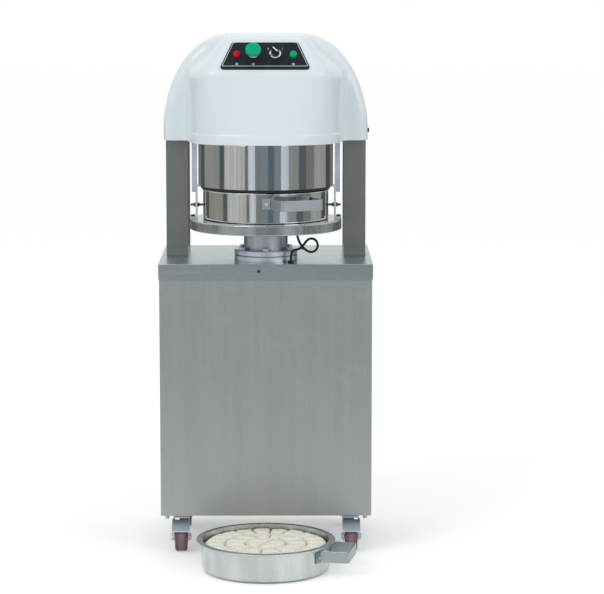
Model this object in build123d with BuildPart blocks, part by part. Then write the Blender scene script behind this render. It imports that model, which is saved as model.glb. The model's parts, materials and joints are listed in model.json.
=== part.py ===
"""Hydraulic dough divider: a cabinet on casters, a lifting platform with a round
dough pan, and a press head with a knife grid under a white cover.

Millimetres. +Z is up, the front faces -Y, the origin is on the floor under the
middle of the cabinet.
"""

import os
from math import asin, cos, pi, radians, sin, sqrt, tan

from build123d import *

os.makedirs("parts", exist_ok=True)

# Cabinet and table
lid_width = 560.0
lid_depth = 440.0
lid_lip = 41.0
table_height = 774.0
sheet = 2.0
bend_radius = 3.0
caster_height = 105.0
axis_setback = 108.0
frame_tube = 30.0
base_thickness = 4.0
base_lip = 40.0
louvre_length = 120.0
louvre_width = 7.0
louvre_pitch = 24.0
louvre_count = 7
louvre_height = 200.0

# Posts and head
post_gap = 8.0
post_width = 58.0
post_depth = 150.0
post_wall = 3.0
post_front = -37.0
post_height = 338.0
head_plate = 12.0
head_plate_margin = 4.0
guide_bar_width = 14.0
guide_bar_thickness = 10.0
guide_bar_gap = 10.0
guide_bar_setback = 86.0
guide_bar_length = 167.0
bridge_bar = 50.0
bridge_thickness = 10.0
bridge_column_radius = 6.0

# Head cover
cover_drop = 22.0
cover_height = 275.0
cover_spring_rise = 28.0
cover_wall = 3.0
cover_flat = 100.0
cover_front = -124.0
cover_back = 135.0
cover_edge_fillet = 24.0
bulge_half_width = 206.0
bulge_reach = 206.0
bulge_crown = 26.0
bulge_corner = 120.0
bulge_top_half_width = 104.0
facet_half_width = 122.0
facet_top_half_width = 88.0
facet_corner = 55.0
facet_top_corner = 12.0
facet_rise = 184.0
facet_recess = 18.0
facet_lean = 36.0

# Lift
ram_radius = 58.0
ram_clearance = 0.3
cylinder_wall = 11.0
cylinder_length = 210.0
cylinder_base = 18.0
ram_floor_gap = 18.0
flange_radius = 83.5
lower_flange = 14.0
gland_thickness = 16.0
flange_groove = 3.0
flange_chamfer = 1.5
flange_groove_depth = 4.5
gland_bolt_count = 6
gland_bolt_radius = 5.0
gland_bolt_head = 6.0
gland_bolt_head_radius = 8.0
gland_bolt_turn = 30.0
gland_bolt_circle = 144.0
platform_radius = 200.0
platform_thickness = 27.0
ram_show = 83.0
platform_fillet = 3.0

# Pans
pan_radius = 165.0
pan_height = 80.0
pan_wall = 1.5
pan_bead = 2.5
pan_bead_height = 4.0
pan_corner = 3.0
spare_lip = 14.0
spare_lip_height = 4.0
spare_pan_corner = 14.0
spare_pan_setoff = 150.0
handle_reach = 60.0
handle_height = 27.0
handle_thickness = 3.0
handle_tab = 22.0
handle_tab_angle = 24.0
handle_top_gap = 14.0
handle_bend = 6.0
pan_handle_turn = 25.0
spare_handle_turn = 78.0
rivet_radius = 3.0
rivet_head_radius = 5.0
rivet_head_height = 2.4
dough_height = 70.0
dough_gap = 3.0

# Knives and press
ring_blade = 2.0
radial_blade = 1.6
drum_clearance = 1.5
sectors = (4, 12, 20)
blade_height = 80.0
knife_lift_gap = 2.5
pan_floor_gap = 1.0
pad_thickness = 12.0
pad_gap = 1.5
pad_knife_gap = 1.5
stem_radius = 4.0
stem_length = 120.0
carrier_thickness = 8.0
press_stroke = 60.0
press_rod_radius = 10.0
press_rod_clearance = 0.4
press_cylinder_radius = 30.0
press_cylinder_cap = 10.0
drum_flange = 10.0
drum_flange_thickness = 6.0
hanger_radius = 4.0

# Skirt and brackets
skirt_radius = 177.5
skirt_wall = 1.5
skirt_lift = 9.0
skirt_guide_clearance = 0.6
skirt_overlap = 6.0
seal_lip = 7.0
seal_lip_height = 7.0
seal_band = 8.0
seal_inner_gap = 2.0
bracket_thickness = 5.0
bracket_width = 20.0
bracket_gap = 2.5
bracket_foot = 14.5
bracket_reach = 8.0
bracket_bend = 1.5
bracket_bolt_radius = 3.0
bracket_bolt_depth = 12.0
bracket_bolt_head_radius = 5.8
bracket_bolt_head = 5.0
screw_radius = 3.0
screw_height = 36.0
screw_tail = 13.0
screw_pan_gap = 0.3
screw_nut_radius = 6.0
screw_nut = 5.0
hole_clearance = 0.2

# Controls
panel_bottom_width = 234.0
panel_top_width = 169.0
panel_slope_height = 83.0
panel_thickness = 2.0
panel_corner = 8.0
panel_rise = 9.5
control_rise = 1.0
neck_radius = 11.0
neck_length = 15.0
neck_bore = 8.3
stem_fit = 0.3
collar_radius = 15.0
collar_height = 14.0
bezel_radius = 14.8
bezel_height = 12.0
mushroom_radius = 20.0
mushroom_height = 11.0
mushroom_crown = 6.6
mushroom_gap = 8.0
button_travel = 4.0
knob_radius = 11.0
knob_disc = 4.0
knob_grip_width = 8.0
knob_grip_height = 12.0
knob_grip_inset = 0.6
knob_rest_angle = 135.0
pointer_width = 2.6
pointer_length = 17.0
pointer_thickness = 1.2
lamp_radius = 9.5
lamp_height = 10.0
lamp_crown = 4.0
lamp_neck_radius = 6.0
start_offset = -29.8
selector_offset = 26.0
lamp_offset = 72.0

# Casters
caster_inset = (54.0, 75.0)
caster_plate_width = 80.0
caster_plate_depth = 60.0
caster_plate = 4.0
caster_bolt_inset = 9.0
caster_plate_corner = 4.5
caster_bolt_radius = 5.5
caster_bolt_head = 5.0
caster_race_radius = 24.0
caster_race = 8.0
caster_trail = 25.0
wheel_radius = 37.5
wheel_width = 32.0
wheel_edge = 5.0
hub_recess_radius = 23.0
axle_radius = 6.0
axle_clearance = 0.3
axle_head_radius = 9.0
axle_head = 6.0
fork_gap = 2.0
fork_plate = 3.0
fork_crown = 4.0
fork_depth = 56.0
fork_boss = 12.0
swivel_gap = 0.3
pedal_plate = 3.0
pedal_clearance = 0.5
pedal_ear = 2.0
pedal_pin_radius = 3.0
pedal_pin_y = -22.0
pedal_pin_z = 80.0
pedal_back = 36.0
pedal_front = 66.0
pedal_high = 85.0
pedal_low = 62.0

# Power pack and electrics inside the cabinet
tank_size = (240.0, 160.0, 180.0)
tank_gap = (16.0, 41.0)
tank_wall = 3.0
tank_corner = 12.0
pump_radius = 45.0
pump_height = 50.0
pump_flange = 9.0
motor_radius = 65.0
motor_height = 190.0
motor_fin_count = 24
motor_fin_depth = 4.0
motor_offset = -45.0
motor_cap = 25.0
valve_size = (70.0, 60.0, 60.0)
valve_offset = 70.0
control_box_size = (140.0, 160.0, 260.0)
control_box_gap = (16.0, 36.0)
control_box_corner = 6.0
hose_radius = 8.0
hose_rise = 60.0
hose_lead = 40.0
hose_sag = 6.0
hose_swing = 20.0
fitting_radius = 11.0
fitting_length = 16.0
gland_bore = 5.0
mains_gland_radius = 14.0
mains_gland_nose = 11.2
mains_gland_thread = 10.0
mains_gland_length = 22.0
mains_gland_inset = (78.0, 75.0)

# Sensor cable under the platform; each place of its loop is an X, a Y from the press axis and a drop
cable_radius = 3.25
cable_loop = (
    (82.0, -40.0, 0.0),
    (82.0, -40.0, 12.0),
    (86.0, -44.0, 27.0),
    (93.0, -48.0, 40.0),
    (103.0, -49.0, 51.0),
    (115.5, -47.5, 58.5),
    (129.0, -44.0, 57.0),
    (137.5, -40.5, 45.5),
    (135.5, -37.5, 31.5),
    (124.0, -35.0, 22.5),
    (110.0, -34.0, 26.0),
    (100.0, -34.5, 40.0),
    (91.5, -39.0, 49.0),
    (82.0, -51.0, 51.0),
    (74.0, -63.0, 51.0),
    (69.0, -70.0, 55.0),
)
cable_end_run = 13.0
route_share = 0.45
grommet_radius = 8.0
grommet_height = 6.0
grommet_place = (66.0, -74.0)

# Places that follow from the sizes above
press_y = -lid_depth / 2 + axis_setback
press_axis = (0, press_y)
cabinet_width = lid_width - 2 * sheet
cabinet_depth = lid_depth - 2 * sheet
cabinet_top = table_height - sheet
inner_width = cabinet_width - 2 * sheet
inner_depth = cabinet_depth - 2 * sheet
base_top = caster_height + base_thickness
caster_x = lid_width / 2 - caster_inset[0]
caster_y = lid_depth / 2 - caster_inset[1]
post_inner = platform_radius + post_gap
post_outer = post_inner + post_width
post_top = table_height + post_height
guide_bar_bottom = post_top - guide_bar_length
cover_bottom = post_top - cover_drop
cover_top = cover_bottom + cover_height
cover_spring = cover_bottom + cover_spring_rise
facet_bend = cover_bottom + facet_rise
platform_bottom = table_height + ram_show
platform_top = platform_bottom + platform_thickness
cylinder_radius = ram_radius + ram_clearance + cylinder_wall
gland_bottom = table_height + lower_flange
gland_top = gland_bottom + gland_thickness
pan_rim = platform_top + pan_height
pan_inner = pan_radius - pan_wall
knife_bottom = pan_rim + knife_lift_gap
lift_stroke = knife_bottom - pan_floor_gap - platform_top - pan_wall
knife_radius = pan_inner - drum_clearance
skirt_bottom = pan_rim + skirt_lift
skirt_inner = skirt_radius - skirt_wall
skirt_top = post_top + head_plate + skirt_overlap
seal_inner = knife_radius + seal_inner_gap
seal_top = skirt_bottom + seal_band
drum_top = seal_top + lift_stroke + pan_floor_gap + knife_lift_gap
head_top = post_top + head_plate
bridge_bottom = skirt_top + lift_stroke + skirt_overlap
bridge_top = bridge_bottom + bridge_thickness
hanger_circle = knife_radius + drum_flange / 2
column_circle = skirt_radius + skirt_guide_clearance + bridge_column_radius + hanger_radius
bridge_reach = column_circle + bridge_column_radius + head_plate_margin
pad_bottom = knife_bottom + pad_gap
pad_top = pad_bottom + pad_thickness
carrier_bottom = pad_top + stem_length
carrier_top = carrier_bottom + carrier_thickness
carrier_radius = hanger_circle - 2 * hanger_radius
facet_height = cover_top - facet_bend
facet_angle = radians(facet_lean)
facet_front = press_y - bulge_reach + facet_recess
bracket_inner = skirt_radius + bracket_gap
tank_place = (
    tank_size[0] / 2 + tank_gap[0] - inner_width / 2,
    inner_depth / 2 - tank_size[1] / 2 - tank_gap[1],
)
control_box_place = (
    inner_width / 2 - control_box_size[0] / 2 - control_box_gap[0],
    inner_depth / 2 - control_box_size[1] / 2 - control_box_gap[1],
)
mains_gland_place = (cabinet_width / 2 - mains_gland_inset[0], caster_height + mains_gland_inset[1])


def save(piece, name):
    """Labels a finished piece and writes it under its own name."""
    piece.part.label = name
    export_step(piece.part, f"parts/{name}.step")


# Base frame: a tray for the power pack, corner uprights and a top ring that carries the table
with BuildPart() as base_frame:
    with BuildSketch(Plane.XY.offset(caster_height)):
        Rectangle(inner_width, inner_depth)
    extrude(amount=base_lip)
    with BuildSketch(Plane.XY.offset(base_top)):
        Rectangle(inner_width - 2 * base_thickness, inner_depth - 2 * base_thickness)
    extrude(amount=base_lip, mode=Mode.SUBTRACT)
    with BuildSketch(Plane.XY.offset(base_top)):
        with GridLocations(inner_width - frame_tube, inner_depth - frame_tube, 2, 2):
            Rectangle(frame_tube, frame_tube)
    extrude(amount=cabinet_top - base_top)
    with BuildSketch(Plane.XY.offset(cabinet_top - frame_tube)):
        Rectangle(inner_width, inner_depth)
        Rectangle(inner_width - 2 * frame_tube, inner_depth - 2 * frame_tube, mode=Mode.SUBTRACT)
    extrude(amount=frame_tube)
save(base_frame, "base_frame")

# Cabinet skin: front and both sides folded from one sheet, open at the back
with BuildPart() as cabinet_shell:
    with BuildSketch(Plane.XY.offset(caster_height)):
        Rectangle(cabinet_width, cabinet_depth)
        with Locations((0, sheet)):
            Rectangle(inner_width, cabinet_depth, mode=Mode.SUBTRACT)
    extrude(amount=cabinet_top - caster_height)
    fillet(cabinet_shell.edges().filter_by(Axis.Z).group_by(Axis.Y)[0], bend_radius)
save(cabinet_shell, "cabinet_shell")

# Back panel with two columns of cooling slots and the hole of the mains gland
back_plane = Plane((0, cabinet_depth / 2, 0), x_dir=(-1, 0, 0), z_dir=(0, 1, 0))
with BuildPart() as cabinet_back_panel:
    with BuildSketch(back_plane):
        with Locations((0, (caster_height + cabinet_top) / 2)):
            Rectangle(inner_width - 2 * hole_clearance, cabinet_top - caster_height)
        with Locations((0, caster_height + louvre_height)):
            with GridLocations(2 * louvre_length, louvre_pitch, 2, louvre_count):
                SlotOverall(louvre_length, louvre_width, mode=Mode.SUBTRACT)
        with Locations((-mains_gland_place[0], mains_gland_place[1])):
            Circle(mains_gland_thread + hole_clearance, mode=Mode.SUBTRACT)
    extrude(amount=-sheet)
save(cabinet_back_panel, "cabinet_back_panel")

# Table lid: a folded sheet cap over the cabinet, bored for the lift cylinder
with BuildPart() as table_lid:
    with BuildSketch(Plane.XY.offset(table_height - lid_lip)):
        Rectangle(lid_width, lid_depth)
    extrude(amount=lid_lip)
    fillet(table_lid.edges().filter_by(Axis.Z), bend_radius)
    fillet(table_lid.faces().sort_by(Axis.Z)[-1].edges(), sheet / 2)
    with BuildSketch(Plane.XY.offset(table_height - lid_lip)):
        Rectangle(cabinet_width, cabinet_depth)
    extrude(amount=lid_lip - sheet, mode=Mode.SUBTRACT)
    with BuildSketch(Plane.XY.offset(table_height)):
        with Locations(press_axis):
            Circle(cylinder_radius + hole_clearance)
    extrude(amount=-sheet, mode=Mode.SUBTRACT)
save(table_lid, "table_lid")

# Posts: two rectangular tubes that carry the head
for side, name in ((-1, "left_post"), (1, "right_post")):
    with BuildPart() as post:
        with BuildSketch(Plane.XY.offset(table_height)):
            with Locations((side * (post_inner + post_width / 2), post_front + post_depth / 2)):
                Rectangle(post_width, post_depth)
                Rectangle(post_width - 2 * post_wall, post_depth - 2 * post_wall, mode=Mode.SUBTRACT)
        extrude(amount=post_top - table_height)
        fillet(post.edges().filter_by(Axis.Z).group_by(SortBy.DISTANCE)[-1], bend_radius)
    save(post, name)

# Head plate: bolted across the posts, with the round hole that guides the skirt
with BuildPart() as head_frame:
    with BuildSketch(Plane.XY.offset(post_top)):
        with Locations((0, post_front + post_depth / 2)):
            Rectangle(2 * (post_outer - head_plate_margin), post_depth)
        with Locations(press_axis):
            Circle(column_circle + bridge_column_radius + hole_clearance)
            Circle(skirt_radius + skirt_guide_clearance, mode=Mode.SUBTRACT)
    extrude(amount=head_plate)
save(head_frame, "head_frame")

# Bridge: a cross of two bars on four columns, above the raised skirt
with BuildPart() as head_bridge:
    with BuildSketch(Plane.XY.offset(head_top)):
        with Locations(press_axis):
            with PolarLocations(column_circle, 4, start_angle=45):
                Circle(bridge_column_radius)
    extrude(amount=bridge_bottom - head_top)
    with BuildSketch(Plane.XY.offset(bridge_bottom)):
        with Locations(press_axis):
            for turn in (45, 135):
                SlotOverall(2 * bridge_reach, bridge_bar, rotation=turn)
            Circle(press_rod_radius + press_rod_clearance, mode=Mode.SUBTRACT)
    extrude(amount=bridge_thickness)
save(head_bridge, "head_bridge")

# Guide bars: flat bars that hang from the head plate beside the posts
with BuildPart() as guide_bars:
    with BuildSketch(Plane.XY.offset(guide_bar_bottom)):
        for side in (-1, 1):
            bar_x = side * (post_inner - guide_bar_gap - guide_bar_width / 2)
            with Locations((bar_x, press_y + guide_bar_setback + guide_bar_thickness / 2)):
                Rectangle(guide_bar_width, guide_bar_thickness)
    extrude(amount=post_top - guide_bar_bottom)
save(guide_bars, "guide_bars")


def arch_solid(inset):
    """The arched main body of the cover, drawn in by an inset from its outer skin."""
    half_width = post_outer + cover_wall - inset
    low = cover_bottom - inset
    high = cover_top - inset
    front = cover_front + inset
    with BuildPart() as arch:
        with BuildSketch(Plane.XZ.offset(-front)):
            with BuildLine():
                Line((-half_width, cover_spring), (-half_width, low))
                Line((-half_width, low), (half_width, low))
                Line((half_width, low), (half_width, cover_spring))
                EllipticalCenterArc(
                    (cover_flat, cover_spring), half_width - cover_flat, high - cover_spring, 0, arc_size=90
                )
                Line((cover_flat, high), (-cover_flat, high))
                EllipticalCenterArc(
                    (-cover_flat, cover_spring), half_width - cover_flat, high - cover_spring, 90, arc_size=90
                )
            make_face()
        extrude(amount=front - cover_back + inset)
        ends = arch.faces().filter_by(Axis.Y).edges()
        rim = ends.filter_by(lambda edge: edge.center().Z > low + cover_wall)
        fillet(rim, cover_edge_fillet - inset)
    return arch.part


def bulge_outline(level, half_width, front, flat_half, corner, crown):
    """One level outline of the front bulge, smooth from side to side, with a straight back.

    A front edge, flat or crowned, runs into a corner arc and then a wider side arc that ends
    square to the press axis plane.
    """
    side_end = Vector(half_width, press_y)
    front_end = Vector(flat_half, front + crown)
    if crown > 0:
        front_radius = (flat_half**2 + crown**2) / (2 * crown)
        front_turn = asin(flat_half / front_radius)
    else:
        front_turn = 0
    corner_middle = front_end + Vector(-sin(front_turn), cos(front_turn)) * corner
    across = half_width - corner_middle.X
    back = press_y - corner_middle.Y
    side_radius = (across**2 + back**2 - corner**2) / (2 * (across - corner))
    side_middle = side_end - Vector(side_radius, 0)
    meet = corner_middle + (corner_middle - side_middle).normalized() * corner
    corner_mid = corner_middle + (front_end + meet - corner_middle * 2).normalized() * corner
    side_mid = side_middle + (meet + side_end - side_middle * 2).normalized() * side_radius
    with BuildSketch(Plane.XY.offset(level)) as outline:
        with BuildLine():
            ThreePointArc(side_end, side_mid, meet)
            ThreePointArc(meet, corner_mid, front_end)
            mirror(about=Plane.YZ)
            if crown > 0:
                ThreePointArc(front_end, (0, front), (-flat_half, front + crown))
            else:
                Line(front_end, (-flat_half, front))
            Line((-half_width, press_y), side_end)
        make_face()
    return outline.sketch


def bulge_solid(inset):
    """The front bulge: upright below, with a flat slanted facet for the controls above."""
    facet_inset = inset / cos(facet_angle)
    bend = facet_bend - inset * tan(facet_angle / 2)
    foot_front = press_y - bulge_reach + inset
    top_front = facet_front + (facet_height - inset) * tan(facet_angle) + facet_inset
    side = bulge_half_width - inset
    top_side = bulge_top_half_width - inset
    levels = [
        bulge_outline(
            cover_bottom - inset, side, foot_front, facet_half_width, bulge_corner - inset, bulge_crown
        ),
        bulge_outline(bend, side, facet_front + inset, facet_half_width, facet_corner - inset, 0),
        bulge_outline(
            cover_top - inset, top_side, top_front, facet_top_half_width, facet_top_corner - inset, 0
        ),
    ]
    with BuildPart() as bulge:
        loft(sections=levels, ruled=True)
    return bulge.part


# The plane of the control panel, at its middle, with Y up the slope
panel_middle = panel_rise + panel_slope_height / 2
facet_plane = Plane(
    (0, facet_front + panel_middle * sin(facet_angle), facet_bend + panel_middle * cos(facet_angle)),
    x_dir=(1, 0, 0),
    z_dir=(0, -cos(facet_angle), sin(facet_angle)),
)
panel_plane = facet_plane.offset(panel_thickness)
neck_places = [(start_offset, control_rise), (selector_offset, control_rise)]
lamp_places = [(-lamp_offset, control_rise), (lamp_offset, control_rise)]


def control_plane(place):
    """The plane on the panel's face at one control, with Z out of the panel."""
    return Plane(panel_plane.from_local_coords((*place, 0)), x_dir=panel_plane.x_dir, z_dir=panel_plane.z_dir)


# Head cover: a moulded white shell, open below
with BuildPart() as head_cover:
    add(arch_solid(0))
    add(bulge_solid(0))
    add(arch_solid(cover_wall), mode=Mode.SUBTRACT)
    add(bulge_solid(cover_wall), mode=Mode.SUBTRACT)
    with BuildSketch(facet_plane):
        with Locations(*neck_places):
            Circle(neck_radius + hole_clearance)
        with Locations(*lamp_places):
            Circle(lamp_neck_radius + hole_clearance)
    extrude(amount=-2 * cover_wall, mode=Mode.SUBTRACT)
save(head_cover, "head_cover")

# Control panel: a dark trapezoid plate on the slanted facet
with BuildPart() as control_panel:
    with BuildSketch(facet_plane) as panel_face:
        Polygon(
            (-panel_bottom_width / 2, -panel_slope_height / 2),
            (panel_bottom_width / 2, -panel_slope_height / 2),
            (panel_top_width / 2, panel_slope_height / 2),
            (-panel_top_width / 2, panel_slope_height / 2),
            align=None,
        )
        fillet(panel_face.vertices(), panel_corner)
        with Locations(*neck_places):
            Circle(neck_radius + hole_clearance, mode=Mode.SUBTRACT)
        with Locations(*lamp_places):
            Circle(lamp_neck_radius + hole_clearance, mode=Mode.SUBTRACT)
    extrude(amount=panel_thickness)
save(control_panel, "control_panel")

# Collar of the start button and bezel of the selector: chrome rings with a neck through the panel
rings = (
    ("start_collar", neck_places[0], collar_radius, collar_height),
    ("selector_bezel", neck_places[1], bezel_radius, bezel_height),
)
for name, place, ring_radius, ring_height in rings:
    with BuildPart() as ring:
        with BuildSketch(control_plane(place)):
            Circle(ring_radius)
        extrude(amount=ring_height)
        chamfer(ring.faces().sort_by(Axis(panel_plane.origin, panel_plane.z_dir))[-1].edges(), sheet)
        with BuildSketch(control_plane(place)):
            Circle(neck_radius)
        extrude(amount=-neck_length)
        with BuildSketch(control_plane(place).offset(ring_height)):
            Circle(neck_bore)
        extrude(amount=-ring_height - neck_length, mode=Mode.SUBTRACT)
    save(ring, name)

# Start button: a green mushroom head on a stem that slides in the collar
control_stem = neck_bore - stem_fit
with BuildPart() as start_button:
    with BuildSketch(control_plane(neck_places[0]).offset(collar_height + mushroom_gap)):
        Circle(mushroom_radius)
    extrude(amount=mushroom_height)
    mushroom_top = start_button.faces().sort_by(Axis(panel_plane.origin, panel_plane.z_dir))[-1]
    fillet(mushroom_top.edges(), mushroom_crown)
    with BuildSketch(control_plane(neck_places[0]).offset(collar_height + mushroom_gap)):
        Circle(control_stem)
    extrude(amount=-collar_height - mushroom_gap - neck_length + button_travel)
save(start_button, "start_button")

# Power selector: a black disc with a grip bar, on a stem that turns in the bezel
with BuildPart() as power_knob:
    with BuildSketch(control_plane(neck_places[1]).offset(bezel_height + hole_clearance)):
        Circle(knob_radius)
    extrude(amount=knob_disc)
    with BuildSketch(control_plane(neck_places[1]).offset(bezel_height + hole_clearance + knob_disc)):
        SlotOverall(2 * (knob_radius - knob_grip_inset), knob_grip_width, rotation=knob_rest_angle)
    extrude(amount=knob_grip_height)
    with BuildSketch(control_plane(neck_places[1]).offset(bezel_height + hole_clearance)):
        Circle(control_stem)
    extrude(amount=-bezel_height - neck_length)
save(power_knob, "power_knob")

# Pointer: a bright bar along the top of the grip
grip_top = bezel_height + hole_clearance + knob_disc + knob_grip_height
with BuildPart() as knob_pointer:
    with BuildSketch(control_plane(neck_places[1]).offset(grip_top)):
        Rectangle(pointer_length, pointer_width, rotation=knob_rest_angle)
    extrude(amount=pointer_thickness)
save(knob_pointer, "knob_pointer")

# Pilot lamps: domed lenses with a neck through the panel
for name, place in (("red_lamp", lamp_places[0]), ("green_lamp", lamp_places[1])):
    with BuildPart() as lamp:
        with BuildSketch(control_plane(place)):
            Circle(lamp_radius)
        extrude(amount=lamp_height)
        lens_top = lamp.faces().sort_by(Axis(panel_plane.origin, panel_plane.z_dir))[-1]
        fillet(lens_top.edges(), lamp_crown)
        with BuildSketch(control_plane(place)):
            Circle(lamp_neck_radius)
        extrude(amount=-neck_length)
    save(lamp, name)

# Lift cylinder: hangs in the table by its flange, closed below, bored for the ram
bolt_circle = gland_bolt_circle / 2
cylinder_bottom = table_height - cylinder_length
with BuildPart() as lift_cylinder:
    with BuildSketch(Plane.XY.offset(cylinder_bottom)):
        with Locations(press_axis):
            Circle(cylinder_radius)
    extrude(amount=cylinder_length)
    with BuildSketch(Plane.XY.offset(table_height)):
        with Locations(press_axis):
            Circle(flange_radius)
            with PolarLocations(bolt_circle, gland_bolt_count, start_angle=gland_bolt_turn):
                Circle(gland_bolt_radius + hole_clearance, mode=Mode.SUBTRACT)
    extrude(amount=lower_flange)
    with BuildSketch(Plane.XY.offset(cylinder_bottom + cylinder_base)):
        with Locations(press_axis):
            Circle(ram_radius + ram_clearance)
    extrude(amount=cylinder_length, mode=Mode.SUBTRACT)
save(lift_cylinder, "lift_cylinder")

# Gland flange: closes the cylinder round the ram, with a groove at the joint
with BuildPart() as gland_flange:
    with BuildSketch(Plane.XY.offset(gland_bottom)):
        with Locations(press_axis):
            Circle(flange_radius - flange_groove_depth)
    extrude(amount=flange_groove)
    with BuildSketch(Plane.XY.offset(gland_bottom + flange_groove)):
        with Locations(press_axis):
            Circle(flange_radius)
    extrude(amount=gland_thickness - flange_groove)
    chamfer(gland_flange.edges().group_by(Axis.Z)[-1], flange_chamfer)
    with BuildSketch(Plane.XY.offset(gland_bottom)):
        with Locations(press_axis):
            Circle(ram_radius + ram_clearance)
            with PolarLocations(bolt_circle, gland_bolt_count, start_angle=gland_bolt_turn):
                Circle(gland_bolt_radius + hole_clearance)
    extrude(amount=gland_thickness, mode=Mode.SUBTRACT)
save(gland_flange, "gland_flange")

# Gland bolts: hexagon heads over shanks through both flanges
with BuildPart() as gland_bolts:
    with BuildSketch(Plane.XY.offset(table_height)):
        with Locations(press_axis):
            with PolarLocations(bolt_circle, gland_bolt_count, start_angle=gland_bolt_turn):
                Circle(gland_bolt_radius)
    extrude(amount=gland_top - table_height)
    with BuildSketch(Plane.XY.offset(gland_top)):
        with Locations(press_axis):
            with PolarLocations(bolt_circle, gland_bolt_count, start_angle=gland_bolt_turn):
                RegularPolygon(gland_bolt_head_radius, 6)
    extrude(amount=gland_bolt_head)
save(gland_bolts, "gland_bolts")

# Ram: the plunger that carries the platform
ram_bottom = cylinder_bottom + cylinder_base + ram_floor_gap
with BuildPart() as ram:
    with BuildSketch(Plane.XY.offset(ram_bottom)):
        with Locations(press_axis):
            Circle(ram_radius)
    extrude(amount=platform_bottom - ram_bottom)
save(ram, "ram")

# Platform: a turned disc with the tapped holes of the brackets
bracket_bolt_x = bracket_inner + bracket_thickness + bracket_foot - bracket_bolt_head_radius - bracket_bend
with BuildPart() as platform:
    with BuildSketch(Plane.XY.offset(platform_bottom)):
        with Locations(press_axis):
            Circle(platform_radius)
    extrude(amount=platform_thickness)
    fillet(platform.edges(), platform_fillet)
    with BuildSketch(Plane.XY.offset(platform_top)):
        for side in (-1, 1):
            with Locations((side * bracket_bolt_x, press_y)):
                Circle(bracket_bolt_radius + hole_clearance)
    extrude(amount=-bracket_bolt_depth - hole_clearance, mode=Mode.SUBTRACT)
save(platform, "platform")

# Pan brackets: bent strips bolted to the platform, whose tabs carry the skirt
strip_outer = bracket_inner + bracket_thickness
with BuildPart() as pan_brackets:
    with BuildSketch(Plane.XZ.offset(-press_y)):
        with BuildLine():
            Polyline(
                (strip_outer + bracket_foot, platform_top),
                (bracket_inner, platform_top),
                (bracket_inner, skirt_bottom - bracket_thickness),
                (bracket_inner - bracket_reach, skirt_bottom - bracket_thickness),
                (bracket_inner - bracket_reach, skirt_bottom),
                (strip_outer, skirt_bottom),
                (strip_outer, platform_top + bracket_thickness),
                (strip_outer + bracket_foot, platform_top + bracket_thickness),
                close=True,
            )
        make_face()
    extrude(amount=bracket_width / 2, both=True)
    low_bend = platform_top + bracket_thickness
    high_bend = skirt_bottom - bracket_thickness
    bends = pan_brackets.edges().filter_by(Axis.Y).filter_by(
        lambda edge: edge.center().X < strip_outer + hole_clearance
        and edge.center().X > bracket_inner - hole_clearance
        and low_bend - hole_clearance < edge.center().Z < high_bend + hole_clearance
    )
    fillet(bends, bracket_bend)
    with BuildSketch(Plane.XY.offset(platform_top)):
        with Locations((bracket_bolt_x, press_y)):
            Circle(bracket_bolt_radius + hole_clearance)
    extrude(amount=bracket_thickness, mode=Mode.SUBTRACT)
    with BuildSketch(Plane.YZ.offset(bracket_inner)):
        with Locations((press_y, platform_top + screw_height)):
            Circle(screw_radius + hole_clearance)
    extrude(amount=bracket_thickness, mode=Mode.SUBTRACT)
    mirror(about=Plane.YZ)
save(pan_brackets, "pan_brackets")

# Bracket bolts: hexagon heads on the feet
with BuildPart() as bracket_bolts:
    with BuildSketch(Plane.XY.offset(platform_top - bracket_bolt_depth)):
        with Locations((bracket_bolt_x, press_y)):
            Circle(bracket_bolt_radius)
    extrude(amount=bracket_bolt_depth + bracket_thickness)
    with BuildSketch(Plane.XY.offset(platform_top + bracket_thickness)):
        with Locations((bracket_bolt_x, press_y)):
            RegularPolygon(bracket_bolt_head_radius, 6)
    extrude(amount=bracket_bolt_head)
    mirror(about=Plane.YZ)
save(bracket_bolts, "bracket_bolts")

# Adjusting screws: centre the pan from both sides, each with a nut inside and outside its strip
screw_tip = pan_radius + screw_pan_gap
with BuildPart() as adjusting_screws:
    with BuildSketch(Plane.YZ.offset(screw_tip)):
        with Locations((press_y, platform_top + screw_height)):
            Circle(screw_radius)
    extrude(amount=strip_outer + screw_tail - screw_tip)
    for nut_start in (bracket_inner - screw_nut, strip_outer):
        with BuildSketch(Plane.YZ.offset(nut_start)):
            with Locations((press_y, platform_top + screw_height)):
                RegularPolygon(screw_nut_radius, 6)
        extrude(amount=screw_nut)
    mirror(about=Plane.YZ)
save(adjusting_screws, "adjusting_screws")

# Skirt: a polished tube that rises into the head with the platform
with BuildPart() as skirt:
    with BuildSketch(Plane.XY.offset(skirt_bottom)):
        with Locations(press_axis):
            Circle(skirt_radius)
            Circle(skirt_inner, mode=Mode.SUBTRACT)
    extrude(amount=skirt_top - skirt_bottom)
save(skirt, "skirt")

# Skirt seal: a black ring inside the lower edge, with a lip towards the pan
with BuildPart() as skirt_seal:
    with BuildSketch(Plane.XY.offset(skirt_bottom)):
        with Locations(press_axis):
            Circle(skirt_inner)
            Circle(seal_inner, mode=Mode.SUBTRACT)
    extrude(amount=seal_band)
    with BuildSketch(Plane.XY.offset(skirt_bottom - seal_lip_height)):
        with Locations(press_axis):
            Circle(seal_inner + seal_lip)
            Circle(seal_inner, mode=Mode.SUBTRACT)
    extrude(amount=seal_lip_height)
save(skirt_seal, "skirt_seal")


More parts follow.
